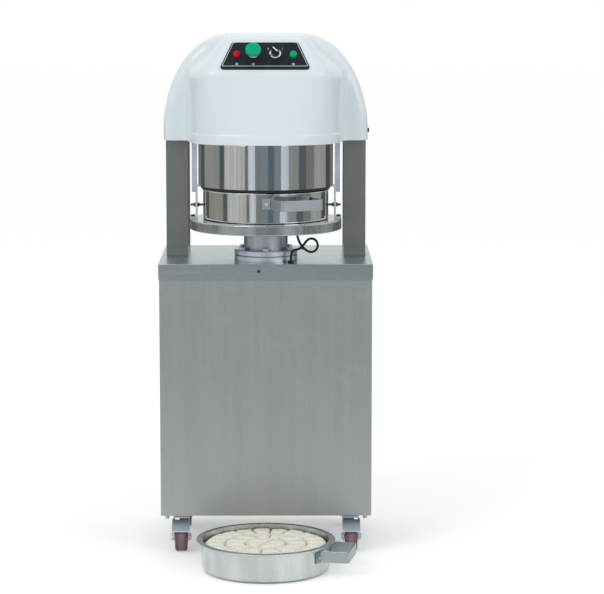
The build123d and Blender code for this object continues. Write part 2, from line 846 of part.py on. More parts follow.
def sector(level, inner, outer, count, gap):
    """One share of a ring between two radii, cut into equal shares by straight gaps.

    It lies about the X axis, on a level plane round the origin.
    """
    half = pi / count
    outer_turn = half - asin(gap / 2 / outer)
    apex = gap / 2 / sin(half)
    start = (outer * cos(outer_turn), -outer * sin(outer_turn))
    end = (outer * cos(outer_turn), outer * sin(outer_turn))
    with BuildSketch(Plane.XY.offset(level)) as share:
        with BuildLine():
            ThreePointArc(start, (outer, 0), end)
            if inner > apex:
                inner_turn = half - asin(gap / 2 / inner)
                low = (inner * cos(inner_turn), -inner * sin(inner_turn))
                high = (inner * cos(inner_turn), inner * sin(inner_turn))
                Line(end, high)
                ThreePointArc(high, (inner, 0), low)
                Line(low, start)
            else:
                Line(end, (apex, 0))
                Line((apex, 0), start)
        make_face()
    return share.sketch


# Knife grid: a drum, two inner ring blades and straight blades that cut equal shares
ring_step = knife_radius / len(sectors)
with BuildPart() as knife_grid:
    with BuildSketch(Plane.XY.offset(knife_bottom)):
        with Locations(press_axis):
            for ring in range(1, len(sectors)):
                Circle(ring * ring_step)
                Circle(ring * ring_step - ring_blade, mode=Mode.SUBTRACT)
    extrude(amount=blade_height)
    with BuildSketch(Plane.XY.offset(knife_bottom)):
        with Locations(press_axis):
            Circle(knife_radius)
            Circle(knife_radius - ring_blade, mode=Mode.SUBTRACT)
    extrude(amount=drum_top - knife_bottom)
    with BuildSketch(Plane.XY.offset(knife_bottom)):
        with Locations(press_axis):
            for ring, count in enumerate(sectors):
                inner = max(ring * ring_step - ring_blade / 2, 0)
                length = (ring + 1) * ring_step - ring_blade / 2 - inner
                with PolarLocations(inner + length / 2, count, start_angle=180 / count):
                    Rectangle(length, radial_blade)
    extrude(amount=blade_height)
save(knife_grid, "knife_grid")

# Knife hangers: a flange on the drum and the rods from it to the bridge
hanger_bottom = drum_top + drum_flange_thickness
with BuildPart() as knife_hangers:
    with BuildSketch(Plane.XY.offset(drum_top)):
        with Locations(press_axis):
            Circle(knife_radius + drum_flange)
            Circle(knife_radius - ring_blade, mode=Mode.SUBTRACT)
    extrude(amount=drum_flange_thickness)
    with BuildSketch(Plane.XY.offset(hanger_bottom)):
        with Locations(press_axis):
            with PolarLocations(hanger_circle, 4, start_angle=45):
                Circle(hanger_radius)
    extrude(amount=bridge_bottom - hanger_bottom)
save(knife_hangers, "knife_hangers")


def pad_solid(inner, outer, count):
    """A press pad for one cell of the knife grid, with its stem."""
    with BuildPart() as pad:
        add(sector(pad_bottom, inner, outer, count, radial_blade + 2 * pad_knife_gap))
        extrude(amount=pad_thickness)
        with BuildSketch(Plane.XY.offset(pad_top)):
            with Locations(((inner + 2 * outer) / 3, 0)):
                Circle(stem_radius)
        extrude(amount=stem_length)
    return pad.part


# Press pads: one shaped pad on a stem in every cell of the knife grid
with BuildPart() as press_pads:
    for ring, count in enumerate(sectors):
        cell_inner = ring * ring_step + pad_knife_gap if ring else 0
        cell_outer = (ring + 1) * ring_step - ring_blade - pad_knife_gap
        with Locations(press_axis):
            with PolarLocations(0, count):
                add(pad_solid(cell_inner, cell_outer, count))
save(press_pads, "press_pads")

# Press carrier: a plate over all stems, with the rod of the press cylinder
press_rod_top = bridge_top + press_cylinder_cap
with BuildPart() as press_carrier:
    with BuildSketch(Plane.XY.offset(carrier_bottom)):
        with Locations(press_axis):
            Circle(carrier_radius)
    extrude(amount=carrier_thickness)
    with BuildSketch(Plane.XY.offset(carrier_top)):
        with Locations(press_axis):
            Circle(press_rod_radius)
    extrude(amount=press_rod_top - carrier_top)
save(press_carrier, "press_carrier")

# Press cylinder: on the bridge, over the rod
with BuildPart() as press_cylinder:
    with BuildSketch(Plane.XY.offset(bridge_top)):
        with Locations(press_axis):
            Circle(press_cylinder_radius)
    extrude(amount=press_stroke + 3 * press_cylinder_cap)
    with BuildSketch(Plane.XY.offset(bridge_top)):
        with Locations(press_axis):
            Circle(press_rod_radius + press_rod_clearance)
    extrude(amount=press_stroke + 2 * press_cylinder_cap, mode=Mode.SUBTRACT)
save(press_cylinder, "press_cylinder")


def pan_hollow(base, corner):
    """The inside of a pan whose underside is at the base point."""
    with BuildPart() as hollow:
        with BuildSketch(Plane(base).offset(pan_wall)):
            Circle(pan_inner)
        extrude(amount=pan_height)
        fillet(hollow.edges().sort_by(Axis.Z)[0], corner - pan_wall)
    return hollow.part


def handle_plane(base, turn):
    """The plane of a handle's lower edge: X along the handle, -Y away from the pan."""
    rise = pan_height - handle_top_gap - handle_height
    return Plane((base[0], base[1], base[2] + rise), x_dir=(cos(turn), sin(turn), 0), z_dir=(0, 0, 1))


def tab_plane(base, turn, side):
    """The plane of a handle tab's outer face, at its middle."""
    angle = side * radians(handle_tab_angle)
    reach = pan_radius + handle_thickness
    place = handle_plane(base, turn).from_local_coords(
        (reach * sin(angle), -reach * cos(angle), handle_height / 2)
    )
    heading = turn + angle
    return Plane(place, x_dir=(cos(heading), sin(heading), 0), z_dir=(sin(heading), -cos(heading), 0))


spare_base = (0, -lid_depth / 2 - spare_pan_setoff, 0)
pans = (
    ("dough_pan", "pan", (0, press_y, platform_top), pan_corner, pan_bead, pan_bead_height, pan_handle_turn),
    ("spare_pan", "spare_pan", spare_base, spare_pan_corner, spare_lip, spare_lip_height, spare_handle_turn),
)
tab_angle = radians(handle_tab_angle)
tab_middle = (pan_radius * sin(tab_angle), -pan_radius * cos(tab_angle))
tab_run = (handle_tab / 2 * cos(tab_angle), handle_tab / 2 * sin(tab_angle))
tab_end = (tab_middle[0] + tab_run[0], tab_middle[1] + tab_run[1])
tab_root = (tab_middle[0] - tab_run[0], tab_middle[1] - tab_run[1])
grip = -pan_radius - handle_reach
for pan_name, prefix, base, corner, rim_reach, rim_height, handle_turn in pans:
    turn = radians(handle_turn)
    # A deep drawn pan with a rim
    with BuildPart() as pan:
        with BuildSketch(Plane(base)):
            Circle(pan_radius)
        extrude(amount=pan_height)
        fillet(pan.edges().sort_by(Axis.Z)[0], corner)
        with BuildSketch(Plane(base).offset(pan_height - rim_height)):
            Circle(pan_radius + rim_reach)
        extrude(amount=rim_height)
        fillet(pan.edges().filter_by(GeomType.CIRCLE).sort_by(SortBy.RADIUS)[-2:], rim_height / 3)
        add(pan_hollow(base, corner), mode=Mode.SUBTRACT)
    save(pan, pan_name)

    # Its handle: a flat bar bent out and back, with a riveted tab at each end
    with BuildPart() as handle:
        with BuildSketch(handle_plane(base, turn)):
            with BuildLine():
                FilletPolyline(
                    (-tab_end[0], tab_end[1]),
                    (-tab_root[0], tab_root[1]),
                    (-tab_root[0], grip),
                    (tab_root[0], grip),
                    tab_root,
                    tab_end,
                    radius=handle_bend,
                )
                offset(amount=handle_thickness, side=Side.RIGHT)
            make_face()
        extrude(amount=handle_height)
        for side in (-1, 1):
            with BuildSketch(tab_plane(base, turn, side)):
                Circle(rivet_radius + hole_clearance)
            extrude(amount=-handle_thickness, mode=Mode.SUBTRACT)
    save(handle, f"{prefix}_handle")

    # The rivets of its tabs
    with BuildPart() as rivets:
        for side in (-1, 1):
            with BuildSketch(tab_plane(base, turn, side)):
                Circle(rivet_radius)
            extrude(amount=-handle_thickness)
            with BuildSketch(tab_plane(base, turn, side)):
                Circle(rivet_head_radius)
            extrude(amount=rivet_head_height)
    save(rivets, f"{prefix}_rivets")


def dough_solid(inner, outer, count):
    """One share of dough, as high as it stands in the pan, rounded below like the pan's corner."""
    with BuildPart() as portion:
        add(sector(pan_wall, inner, outer, count, dough_gap))
        extrude(amount=dough_height)
        low_arcs = portion.edges().filter_by(GeomType.CIRCLE).group_by(Axis.Z)[0]
        fillet(low_arcs.sort_by(SortBy.RADIUS)[-1], spare_pan_corner - pan_wall)
    return portion.part


# Dough in the spare pan, cut into equal shares
dough_step = (pan_inner - dough_gap) / len(sectors)
with BuildPart() as dough_portions:
    for ring, count in enumerate(sectors):
        share_inner = ring * dough_step + dough_gap / 2 if ring else 0
        share_outer = (ring + 1) * dough_step - dough_gap / 2
        with Locations(spare_base):
            with PolarLocations(0, count, start_angle=90 / count):
                add(dough_solid(share_inner, share_outer, count))
save(dough_portions, "dough_portions")

# Caster tops: a bolted plate with the swivel race, at each corner of the base
caster_places = {
    "front_left": (-caster_x, -caster_y),
    "front_right": (caster_x, -caster_y),
    "back_left": (-caster_x, caster_y),
    "back_right": (caster_x, caster_y),
}
plate_bottom = caster_height - caster_plate
race_bottom = plate_bottom - caster_race
bolt_spread = (caster_plate_width - 2 * caster_bolt_inset, caster_plate_depth - 2 * caster_bolt_inset)
with BuildPart() as caster_plates:
    with BuildSketch(Plane.XY.offset(plate_bottom)):
        with Locations(*caster_places.values()):
            RectangleRounded(caster_plate_width, caster_plate_depth, caster_plate_corner)
    extrude(amount=caster_plate)
    with BuildSketch(Plane.XY.offset(race_bottom)):
        with Locations(*caster_places.values()):
            Circle(caster_race_radius)
    extrude(amount=caster_race)
    with BuildSketch(Plane.XY.offset(plate_bottom - caster_bolt_head)):
        with Locations(*caster_places.values()):
            with GridLocations(*bolt_spread, 2, 2):
                RegularPolygon(caster_bolt_radius, 6)
    extrude(amount=caster_bolt_head)
save(caster_plates, "caster_plates")

crown_top = race_bottom - swivel_gap
crown_bottom = crown_top - fork_crown
leg_inner = wheel_width / 2 + fork_gap
leg_outer = leg_inner + fork_plate
ear_inner = leg_outer + pedal_clearance
ear_outer = ear_inner + pedal_ear
for place, (caster_at_x, caster_at_y) in caster_places.items():
    braked = place.startswith("front")
    axle_at = (caster_at_y - caster_trail, wheel_radius)
    pin_at = (caster_at_y + pedal_pin_y, pedal_pin_z)

    # Fork: a crown plate, two legs that taper to the axle, the axle and the pedal's pin
    with BuildPart() as fork:
        with BuildSketch(Plane.XY.offset(crown_bottom)):
            with Locations((caster_at_x, caster_at_y)):
                RectangleRounded(2 * leg_outer, fork_depth, fork_crown)
        extrude(amount=fork_crown)
        for leg in (caster_at_x - leg_outer, caster_at_x + leg_inner):
            with BuildSketch(Plane.YZ.offset(leg)):
                with Locations(axle_at):
                    Circle(fork_boss)
                with Locations((caster_at_y, crown_bottom)):
                    Rectangle(fork_depth - 2 * fork_crown, fork_crown)
                make_hull()
            extrude(amount=fork_plate)
        with BuildSketch(Plane.YZ.offset(caster_at_x - leg_outer - axle_head)):
            with Locations(axle_at):
                Circle(axle_radius)
        extrude(amount=2 * (leg_outer + axle_head))
        for head in (caster_at_x - leg_outer - axle_head, caster_at_x + leg_outer):
            with BuildSketch(Plane.YZ.offset(head)):
                with Locations(axle_at):
                    RegularPolygon(axle_head_radius, 6)
            extrude(amount=axle_head)
        if braked:
            with BuildSketch(Plane.YZ.offset(caster_at_x - ear_outer)):
                with Locations(pin_at):
                    Circle(pedal_pin_radius)
            extrude(amount=2 * ear_outer)
    save(fork, f"caster_fork_{place}")

    # Wheel: a rounded tread with a recessed hub on both sides
    with BuildPart() as wheel:
        with BuildSketch(Plane.YZ.offset(caster_at_x - wheel_width / 2)):
            with Locations(axle_at):
                Circle(wheel_radius)
        extrude(amount=wheel_width)
        fillet(wheel.edges(), wheel_edge)
        for face, inward in ((caster_at_x - wheel_width / 2, 1), (caster_at_x + wheel_width / 2, -1)):
            with BuildSketch(Plane.YZ.offset(face)):
                with Locations(axle_at):
                    Circle(hub_recess_radius)
                    Circle(fork_boss, mode=Mode.SUBTRACT)
            extrude(amount=inward * wheel_edge, mode=Mode.SUBTRACT)
        with BuildSketch(Plane.YZ.offset(caster_at_x - wheel_width / 2)):
            with Locations(axle_at):
                Circle(axle_radius + axle_clearance)
        extrude(amount=wheel_width, mode=Mode.SUBTRACT)
    save(wheel, f"caster_wheel_{place}")

    # Brake pedal: a slanted tread plate between two ears on the pin
    if braked:
        with BuildPart() as pedal:
            for ear in (caster_at_x - ear_outer, caster_at_x + ear_inner):
                with BuildSketch(Plane.YZ.offset(ear)):
                    with Locations(pin_at):
                        Circle(2 * pedal_pin_radius)
                    with BuildLine():
                        Polyline(
                            (caster_at_y - pedal_back, pedal_high),
                            (caster_at_y - pedal_front, pedal_low),
                            (caster_at_y - pedal_front, pedal_low - pedal_plate),
                            (caster_at_y - pedal_back, pedal_high - pedal_plate),
                            close=True,
                        )
                    make_face()
                    make_hull()
                extrude(amount=pedal_ear)
            with BuildSketch(Plane.YZ.offset(caster_at_x - ear_outer)):
                with BuildLine():
                    Polyline(
                        (caster_at_y - pedal_back, pedal_high),
                        (caster_at_y - pedal_front, pedal_low),
                        (caster_at_y - pedal_front, pedal_low - pedal_plate),
                        (caster_at_y - pedal_back, pedal_high - pedal_plate),
                        close=True,
                    )
                make_face()
            extrude(amount=2 * ear_outer)
            with BuildSketch(Plane.YZ.offset(caster_at_x - ear_outer)):
                with Locations(pin_at):
                    Circle(pedal_pin_radius + hole_clearance)
            extrude(amount=2 * ear_outer, mode=Mode.SUBTRACT)
        save(pedal, f"brake_pedal_{place}")

# Oil tank on the tray, with a rounded sheet body
tank_top = base_top + tank_size[2]
with BuildPart() as oil_tank:
    with BuildSketch(Plane.XY.offset(base_top)):
        with Locations(tank_place):
            RectangleRounded(tank_size[0], tank_size[1], tank_corner)
    extrude(amount=tank_size[2])
    with BuildSketch(Plane.XY.offset(base_top + tank_wall)):
        with Locations(tank_place):
            RectangleRounded(
                tank_size[0] - 2 * tank_wall, tank_size[1] - 2 * tank_wall, tank_corner - tank_wall
            )
    extrude(amount=tank_size[2] - 2 * tank_wall, mode=Mode.SUBTRACT)
save(oil_tank, "oil_tank")

# Gear pump with its flange, on the tank
pump_place = (tank_place[0] + motor_offset, tank_place[1])
pump_top = tank_top + pump_height
with BuildPart() as hydraulic_pump:
    with BuildSketch(Plane.XY.offset(tank_top)):
        with Locations(pump_place):
            Circle(pump_radius)
    extrude(amount=pump_height)
    with BuildSketch(Plane.XY.offset(tank_top)):
        with Locations(pump_place):
            Circle(motor_radius)
    extrude(amount=pump_flange)
save(hydraulic_pump, "hydraulic_pump")

# Motor with cooling fins, upright on the pump
with BuildPart() as pump_motor:
    with BuildSketch(Plane.XY.offset(pump_top)):
        with Locations(pump_place):
            Circle(motor_radius)
            with PolarLocations(motor_radius, motor_fin_count):
                Rectangle(2 * motor_fin_depth, motor_fin_depth, mode=Mode.SUBTRACT)
    extrude(amount=motor_height)
    with BuildSketch(Plane.XY.offset(pump_top + motor_height)):
        with Locations(pump_place):
            Circle(motor_radius - motor_fin_depth)
    extrude(amount=motor_cap)
save(pump_motor, "pump_motor")

# Valve block on the tank, with the hose fitting on top
valve_place = (tank_place[0] + valve_offset, tank_place[1])
valve_top = tank_top + valve_size[2]
with BuildPart() as valve_block:
    with BuildSketch(Plane.XY.offset(tank_top)):
        with Locations(valve_place):
            Rectangle(valve_size[0], valve_size[1])
    extrude(amount=valve_size[2])
    chamfer(valve_block.edges().filter_by(Axis.Z), bend_radius)
    with BuildSketch(Plane.XY.offset(valve_top)):
        with Locations(valve_place):
            RegularPolygon(fitting_radius, 6)
    extrude(amount=fitting_length)
save(valve_block, "valve_block")


def route_radii(points):
    """The largest arcs that the runs of a route leave room for, one for each corner."""
    radii = []
    for before, corner, after in zip(points, points[1:], points[2:]):
        run_in = Vector(*corner) - Vector(*before)
        run_out = Vector(*after) - Vector(*corner)
        half_turn = radians(run_in.get_angle(run_out)) / 2
        radii.append(route_share * min(run_in.length, run_out.length) / tan(half_turn))
    return radii


# Pressure hose from the valve block to the back of the lift cylinder's base
hose_level = cylinder_bottom + cylinder_base / 2
hose_end = press_y + sqrt(cylinder_radius**2 - hose_radius**2) + fitting_length
hose_points = [
    (*valve_place, valve_top + fitting_length),
    (*valve_place, hose_level - hose_rise),
    (hose_swing + valve_place[0] / 2, valve_place[1] - hose_swing, hose_level),
    (0, hose_end + hose_lead, hose_level + hose_sag),
    (0, hose_end, hose_level),
]
with BuildPart() as hydraulic_hose:
    with BuildLine() as hose_route:
        FilletPolyline(*hose_points, radius=route_radii(hose_points))
    with BuildSketch(Plane(origin=hose_points[0], z_dir=hose_route.line % 0)):
        Circle(hose_radius)
    sweep()
save(hydraulic_hose, "hydraulic_hose")

# Control box on the tray
with BuildPart() as control_box:
    with BuildSketch(Plane.XY.offset(base_top)):
        with Locations(control_box_place):
            RectangleRounded(control_box_size[0], control_box_size[1], control_box_corner)
    extrude(amount=control_box_size[2])
save(control_box, "control_box")

# Mains gland in the back panel, bored for the lead
gland_plane = Plane(
    (mains_gland_place[0], cabinet_depth / 2, mains_gland_place[1]), x_dir=(-1, 0, 0), z_dir=(0, 1, 0)
)
with BuildPart() as mains_gland:
    with BuildSketch(gland_plane):
        RegularPolygon(mains_gland_radius, 6)
    extrude(amount=mains_gland_length / 2)
    with BuildSketch(gland_plane.offset(mains_gland_length / 2)):
        Circle(mains_gland_nose)
    extrude(amount=mains_gland_length / 2)
    with BuildSketch(gland_plane):
        Circle(mains_gland_thread)
    extrude(amount=-mains_gland_length / 2)
    with BuildSketch(gland_plane.offset(mains_gland_length)):
        Circle(gland_bore)
    extrude(amount=-1.5 * mains_gland_length, mode=Mode.SUBTRACT)
save(mains_gland, "mains_gland")

# Grommet of the sensor cable, on the table beside the flange
grommet_middle = (grommet_place[0], press_y + grommet_place[1])
with BuildPart() as cable_grommet:
    with BuildSketch(Plane.XY.offset(table_height)):
        with Locations(grommet_middle):
            Circle(grommet_radius)
    extrude(amount=grommet_height)
    fillet(cable_grommet.edges().group_by(Axis.Z)[-1], grommet_height / 3)
save(cable_grommet, "cable_grommet")

# Sensor cable: hangs from the platform to the grommet, with one loop of slack
cable_end = table_height + grommet_height
cable_points = [(x, press_y + y, platform_bottom - drop) for x, y, drop in cable_loop]
cable_points.append((*grommet_middle, cable_end + cable_end_run))
cable_points.append((*grommet_middle, cable_end))
with BuildPart() as sensor_cable:
    with BuildLine() as cable_route:
        FilletPolyline(*cable_points, radius=route_radii(cable_points))
    with BuildSketch(Plane(origin=cable_points[0], z_dir=cable_route.line % 0)):
        Circle(cable_radius)
    sweep()
save(sensor_cable, "sensor_cable")
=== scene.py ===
"""Dresses the dough divider for its studio picture.

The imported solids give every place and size. This script adds the softened head cover, the panel's
marks, the sensor cable, the dough and small fittings, and gives each surface its finish.
"""

import json
import logging
import math
from collections.abc import Callable, Iterable
from dataclasses import dataclass, field
from enum import Enum
from functools import cache

import bpy
from mathutils import Matrix, Vector, noise
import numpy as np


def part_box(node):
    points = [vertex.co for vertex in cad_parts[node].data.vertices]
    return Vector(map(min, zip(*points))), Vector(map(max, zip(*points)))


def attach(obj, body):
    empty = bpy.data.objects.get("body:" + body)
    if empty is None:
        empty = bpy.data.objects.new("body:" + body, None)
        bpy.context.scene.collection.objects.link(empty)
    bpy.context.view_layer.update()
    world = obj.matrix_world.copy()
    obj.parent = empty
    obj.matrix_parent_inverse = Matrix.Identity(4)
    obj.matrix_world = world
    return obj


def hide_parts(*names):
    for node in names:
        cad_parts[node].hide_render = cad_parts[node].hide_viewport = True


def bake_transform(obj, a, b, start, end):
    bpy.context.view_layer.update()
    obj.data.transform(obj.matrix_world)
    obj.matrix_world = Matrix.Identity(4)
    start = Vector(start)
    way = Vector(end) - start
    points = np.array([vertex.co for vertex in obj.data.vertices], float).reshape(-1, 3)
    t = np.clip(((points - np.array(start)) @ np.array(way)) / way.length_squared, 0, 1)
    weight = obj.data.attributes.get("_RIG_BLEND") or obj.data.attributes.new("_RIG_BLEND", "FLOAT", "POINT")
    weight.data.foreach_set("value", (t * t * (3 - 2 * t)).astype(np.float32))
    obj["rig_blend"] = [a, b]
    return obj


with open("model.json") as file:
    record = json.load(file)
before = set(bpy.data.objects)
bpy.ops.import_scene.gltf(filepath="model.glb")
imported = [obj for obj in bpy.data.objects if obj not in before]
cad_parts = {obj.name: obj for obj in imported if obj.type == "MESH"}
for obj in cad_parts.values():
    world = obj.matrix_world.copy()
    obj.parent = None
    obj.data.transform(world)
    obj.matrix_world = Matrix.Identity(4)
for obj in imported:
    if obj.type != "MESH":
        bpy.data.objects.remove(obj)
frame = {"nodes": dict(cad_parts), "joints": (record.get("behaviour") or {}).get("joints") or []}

log = logging.getLogger("dough_divider")

Colour = tuple[float, float, float]
Point = tuple[float, float, float]

# Points closer than this are one point.
MERGE = 1e-5

# Kinds of node group sockets
VECTOR = "NodeSocketVector"
FLOAT = "NodeSocketFloat"

# Edges lightened as wear and as a painted highlight, and crevices darkened with painted shade, which every
# hard finish has
MASK_SAMPLES = 8
EDGE_RADIUS = 0.0008
CREVICE_REACH = 0.010
BRIGHT_EDGE = (0.86, 0.87, 0.88)
# The colour that crevices are darkened to, as painted shade.
CREVICE_SHADE = (0.02, 0.02, 0.02)

WHITE = (1.0, 1.0, 1.0)
BLACK = (0.0, 0.0, 0.0)


def tone(red: float, green: float, blue: float) -> Colour:
    """Turns a display colour into the linear one that shaders use.

    Args:
        red: Red share on the display, 0 to 255.
        green: Green share on the display, 0 to 255.
        blue: Blue share on the display, 0 to 255.

    Returns:
        The linear colour.
    """
    shares = [channel / 255 for channel in (red, green, blue)]
    return tuple(s / 12.92 if s <= 0.04045 else ((s + 0.055) / 1.055) ** 2.4 for s in shares)


def with_alpha(colour: Colour) -> tuple[float, float, float, float]:
    """Returns the colour with full alpha, as colour sockets take it."""
    return (*colour, 1.0)


def joint_named(name: str) -> dict:
    """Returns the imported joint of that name."""
    return next(joint for joint in frame["joints"] if joint["name"] == name)


def facet_place(x: float) -> Vector:
    """Returns the point of the controls' row on the slanted facet that lies at an X."""
    return Vector((x, *joint_named("power_turn")["pos_m"][1:]))


def facet_outward() -> Vector:
    """Returns the direction that the slanted facet faces."""
    return -Vector(joint_named("power_turn")["axis"]).normalized()


def middle(node: str) -> Vector:
    """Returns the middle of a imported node's box."""
    low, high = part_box(node)
    return (low + high) / 2


class Wiring:
    """Adds nodes to one node tree and links them by socket name."""

    # A Mix node has sockets for every kind of data. These are the places of its colours.
    MIX_FIRST = 6
    MIX_SECOND = 7
    MIX_RESULT = 2

    def __init__(self, tree: bpy.types.NodeTree) -> None:
        """Keeps the tree that the nodes go into."""
        self.tree = tree

    def add(self, kind: str, inputs: dict | None = None, **settings: object) -> bpy.types.Node:
        """Adds one node.

        Args:
            kind: The node's type name.
            inputs: A value or a socket for each input, by socket name or number.
            **settings: Properties of the node itself.

        Returns:
            The new node.
        """
        node = self.tree.nodes.new(kind)
        for key, value in settings.items():
            setattr(node, key, value)
        for key, value in (inputs or {}).items():
            self.feed(node.inputs[key], value)
        return node

    def feed(self, target: bpy.types.NodeSocket, value: object) -> None:
        """Links a socket to an input, or sets the input's own value.

        Args:
            target: The input.
            value: A socket to link, or a value to set.
        """
        if isinstance(value, bpy.types.NodeSocket):
            self.tree.links.new(value, target)
        else:
            target.default_value = value

    def math(self, operation: str, *values: object) -> bpy.types.NodeSocket:
        """Adds a Math node and returns its value."""
        return self.add("ShaderNodeMath", dict(enumerate(values)), operation=operation).outputs[0]

    def vector(self, operation: str, *vectors: object) -> bpy.types.NodeSocket:
        """Adds a Vector Math node and returns its vector, or its value for a length or a dot product."""
        node = self.add("ShaderNodeVectorMath", dict(enumerate(vectors)), operation=operation)
        return node.outputs["Value" if operation in ("LENGTH", "DOT_PRODUCT") else "Vector"]

    def parts(self, vector: object) -> bpy.types.bpy_prop_collection:
        """Returns a vector's X, Y and Z."""
        return self.add("ShaderNodeSeparateXYZ", {0: vector}).outputs

    def joined(self, **parts: object) -> bpy.types.NodeSocket:
        """Returns the vector with the given parts, and 0 for the others."""
        return self.add("ShaderNodeCombineXYZ", parts).outputs[0]

    def spread(
        self, value: object, low: float, high: float, start: float = 0.0, end: float = 1.0
    ) -> bpy.types.NodeSocket:
        """Maps a value from one range to another, held at the ends.

        Args:
            value: The socket or number to map.
            low: The value that gives start.
            high: The value that gives end.
            start: The result at low.
            end: The result at high.

        Returns:
            The mapped value's socket.
        """
        sockets = {"Value": value, "From Min": low, "From Max": high, "To Min": start, "To Max": end}
        return self.add("ShaderNodeMapRange", sockets).outputs["Result"]

    def mix(self, share: object, first: object, second: object) -> bpy.types.NodeSocket:
        """Mixes two colours.

        Args:
            share: How much of the second colour shows.
            first: A colour or a colour socket.
            second: A colour or a colour socket.

        Returns:
            The mixed colour's socket.
        """
        node = self.add("ShaderNodeMix", {0: share}, data_type="RGBA")
        for index, value in ((self.MIX_FIRST, first), (self.MIX_SECOND, second)):
            self.feed(node.inputs[index], with_alpha(value) if isinstance(value, tuple) else value)
        return node.outputs[self.MIX_RESULT]

    def noise(
        self, vector: object, scale: object, detail: float, distortion: float = 0.0
    ) -> bpy.types.NodeSocket:
        """Adds a noise texture.

        Args:
            vector: Where the noise is read.
            scale: How fine it is.
            detail: How many finer layers it has.
            distortion: How far it is drawn out into wisps.

        Returns:
            Its value, from 0 to 1.
        """
        sockets = {"Vector": vector, "Scale": scale, "Detail": detail, "Distortion": distortion}
        return self.add("ShaderNodeTexNoise", sockets).outputs[0]

    def group(self, effect: "Effect", **inputs: object) -> bpy.types.bpy_prop_collection:
        """Places a shared effect in the tree.

        Args:
            effect: The effect.
            **inputs: A value or a socket for each of its inputs.

        Returns:
            The effect's outputs.
        """
        return self.add("ShaderNodeGroup", inputs, node_tree=effect.tree()).outputs


class Effect(Enum):
    """The surface effects that several finishes share, each built once as a node group."""

    BRUSHED = "brushed_lines"
    HANDLED = "handling_marks"
    TURNED = "turned_rings"
    STREAKED = "painted_reflection_streaks"
    PEEL = "moulded_peel"
    EDGES = "worn_highlit_edges_and_crevice_shade"

    def tree(self) -> bpy.types.NodeTree:
        """Finds the effect's node group, which is built at its first use.

        Returns:
            The effect's node group.
        """
        found = bpy.data.node_groups.get(self.value)
        if found is None:
            found = bpy.data.node_groups.new(self.value, "ShaderNodeTree")
            BUILDERS[self](found)
        return found


def open_group(tree: bpy.types.NodeTree, inputs: dict[str, str], outputs: Iterable[str]) -> tuple:
    """Makes a group's sockets.

    Args:
        tree: The group.
        inputs: Socket kind by input name.
        outputs: Names of the float outputs.

    Returns:
        The wiring, the sockets that bring in the inputs and those that take the outputs.
    """
    for name, kind in inputs.items():
        tree.interface.new_socket(name, in_out="INPUT", socket_type=kind)
    for name in outputs:
        tree.interface.new_socket(name, in_out="OUTPUT", socket_type=FLOAT)
    wiring = Wiring(tree)
    return wiring, wiring.add("NodeGroupInput").outputs, wiring.add("NodeGroupOutput").inputs


def build_brushed(tree: bpy.types.NodeTree) -> None:
    """Fine lines along one direction: the vector is stretched, then read as noise.

    Args:
        tree: The new group.
    """
    wiring, given, out = open_group(tree, {"Vector": VECTOR, "Along": VECTOR}, ("Lines", "Bands"))
    stretched = wiring.vector("MULTIPLY", given["Vector"], given["Along"])
    wiring.feed(out["Lines"], wiring.spread(wiring.noise(stretched, 1.0, 4.0), 0.3, 0.7))
    wiring.feed(out["Bands"], wiring.spread(wiring.noise(stretched, 0.06, 2.0), 0.35, 0.65))


def build_handled(tree: bpy.types.NodeTree) -> None:
    """Smudges of use: broad clouds, and wipes five times finer.

    Args:
        tree: The new group.
    """
    wiring, given, out = open_group(tree, {"Vector": VECTOR, "Scale": FLOAT}, ("Clouds", "Wipes"))
    finer = wiring.math("MULTIPLY", given["Scale"], 5.0)
    broad = wiring.noise(given["Vector"], given["Scale"], 4.0)
    wipes = wiring.noise(given["Vector"], finer, 2.0, 1.2)
    wiring.feed(out["Clouds"], wiring.spread(broad, 0.35, 0.68))
    wiring.feed(out["Wipes"], wiring.spread(wipes, 0.5, 0.72))


def build_turned(tree: bpy.types.NodeTree) -> None:
    """Tool rings round the local Z axis, read from the distance to it and the height.

    Args:
        tree: The new group.
    """
    wiring, given, out = open_group(tree, {"Vector": VECTOR, "Pitch": FLOAT}, ("Rings",))
    parts = wiring.parts(given["Vector"])
    reach = wiring.vector("LENGTH", wiring.joined(X=parts["X"], Y=parts["Y"]))
    rings = wiring.noise(wiring.joined(X=reach, Z=parts["Z"]), given["Pitch"], 3.0)
    wiring.feed(out["Rings"], wiring.spread(rings, 0.3, 0.7))


def build_streaked(tree: bpy.types.NodeTree) -> None:
    """Upright streaks round the local Z axis, read from the direction and a little from the height: the
    coarse streaks are painted reflections, and the fine ones vary the roughness.

    Args:
        tree: The new group.
    """
    wiring, given, out = open_group(tree, {"Vector": VECTOR, "Count": FLOAT}, ("Streaks", "Fine"))
    heading = wiring.vector("NORMALIZE", wiring.vector("MULTIPLY", given["Vector"], (1, 1, 0)))
    rise = wiring.vector("MULTIPLY", given["Vector"], (0, 0, 0.9))
    place = wiring.vector("ADD", heading, rise)
    finer = wiring.math("MULTIPLY", given["Count"], 9.0)
    wiring.feed(out["Streaks"], wiring.spread(wiring.noise(place, given["Count"], 3.0), 0.38, 0.62))
    wiring.feed(out["Fine"], wiring.spread(wiring.noise(place, finer, 4.0), 0.3, 0.7))


def build_peel(tree: bpy.types.NodeTree) -> None:
    """The slight waviness of a moulded or sprayed skin."""
    wiring, given, out = open_group(tree, {"Vector": VECTOR, "Scale": FLOAT}, ("Height",))
    wiring.feed(out["Height"], wiring.noise(given["Vector"], given["Scale"], 2.0))


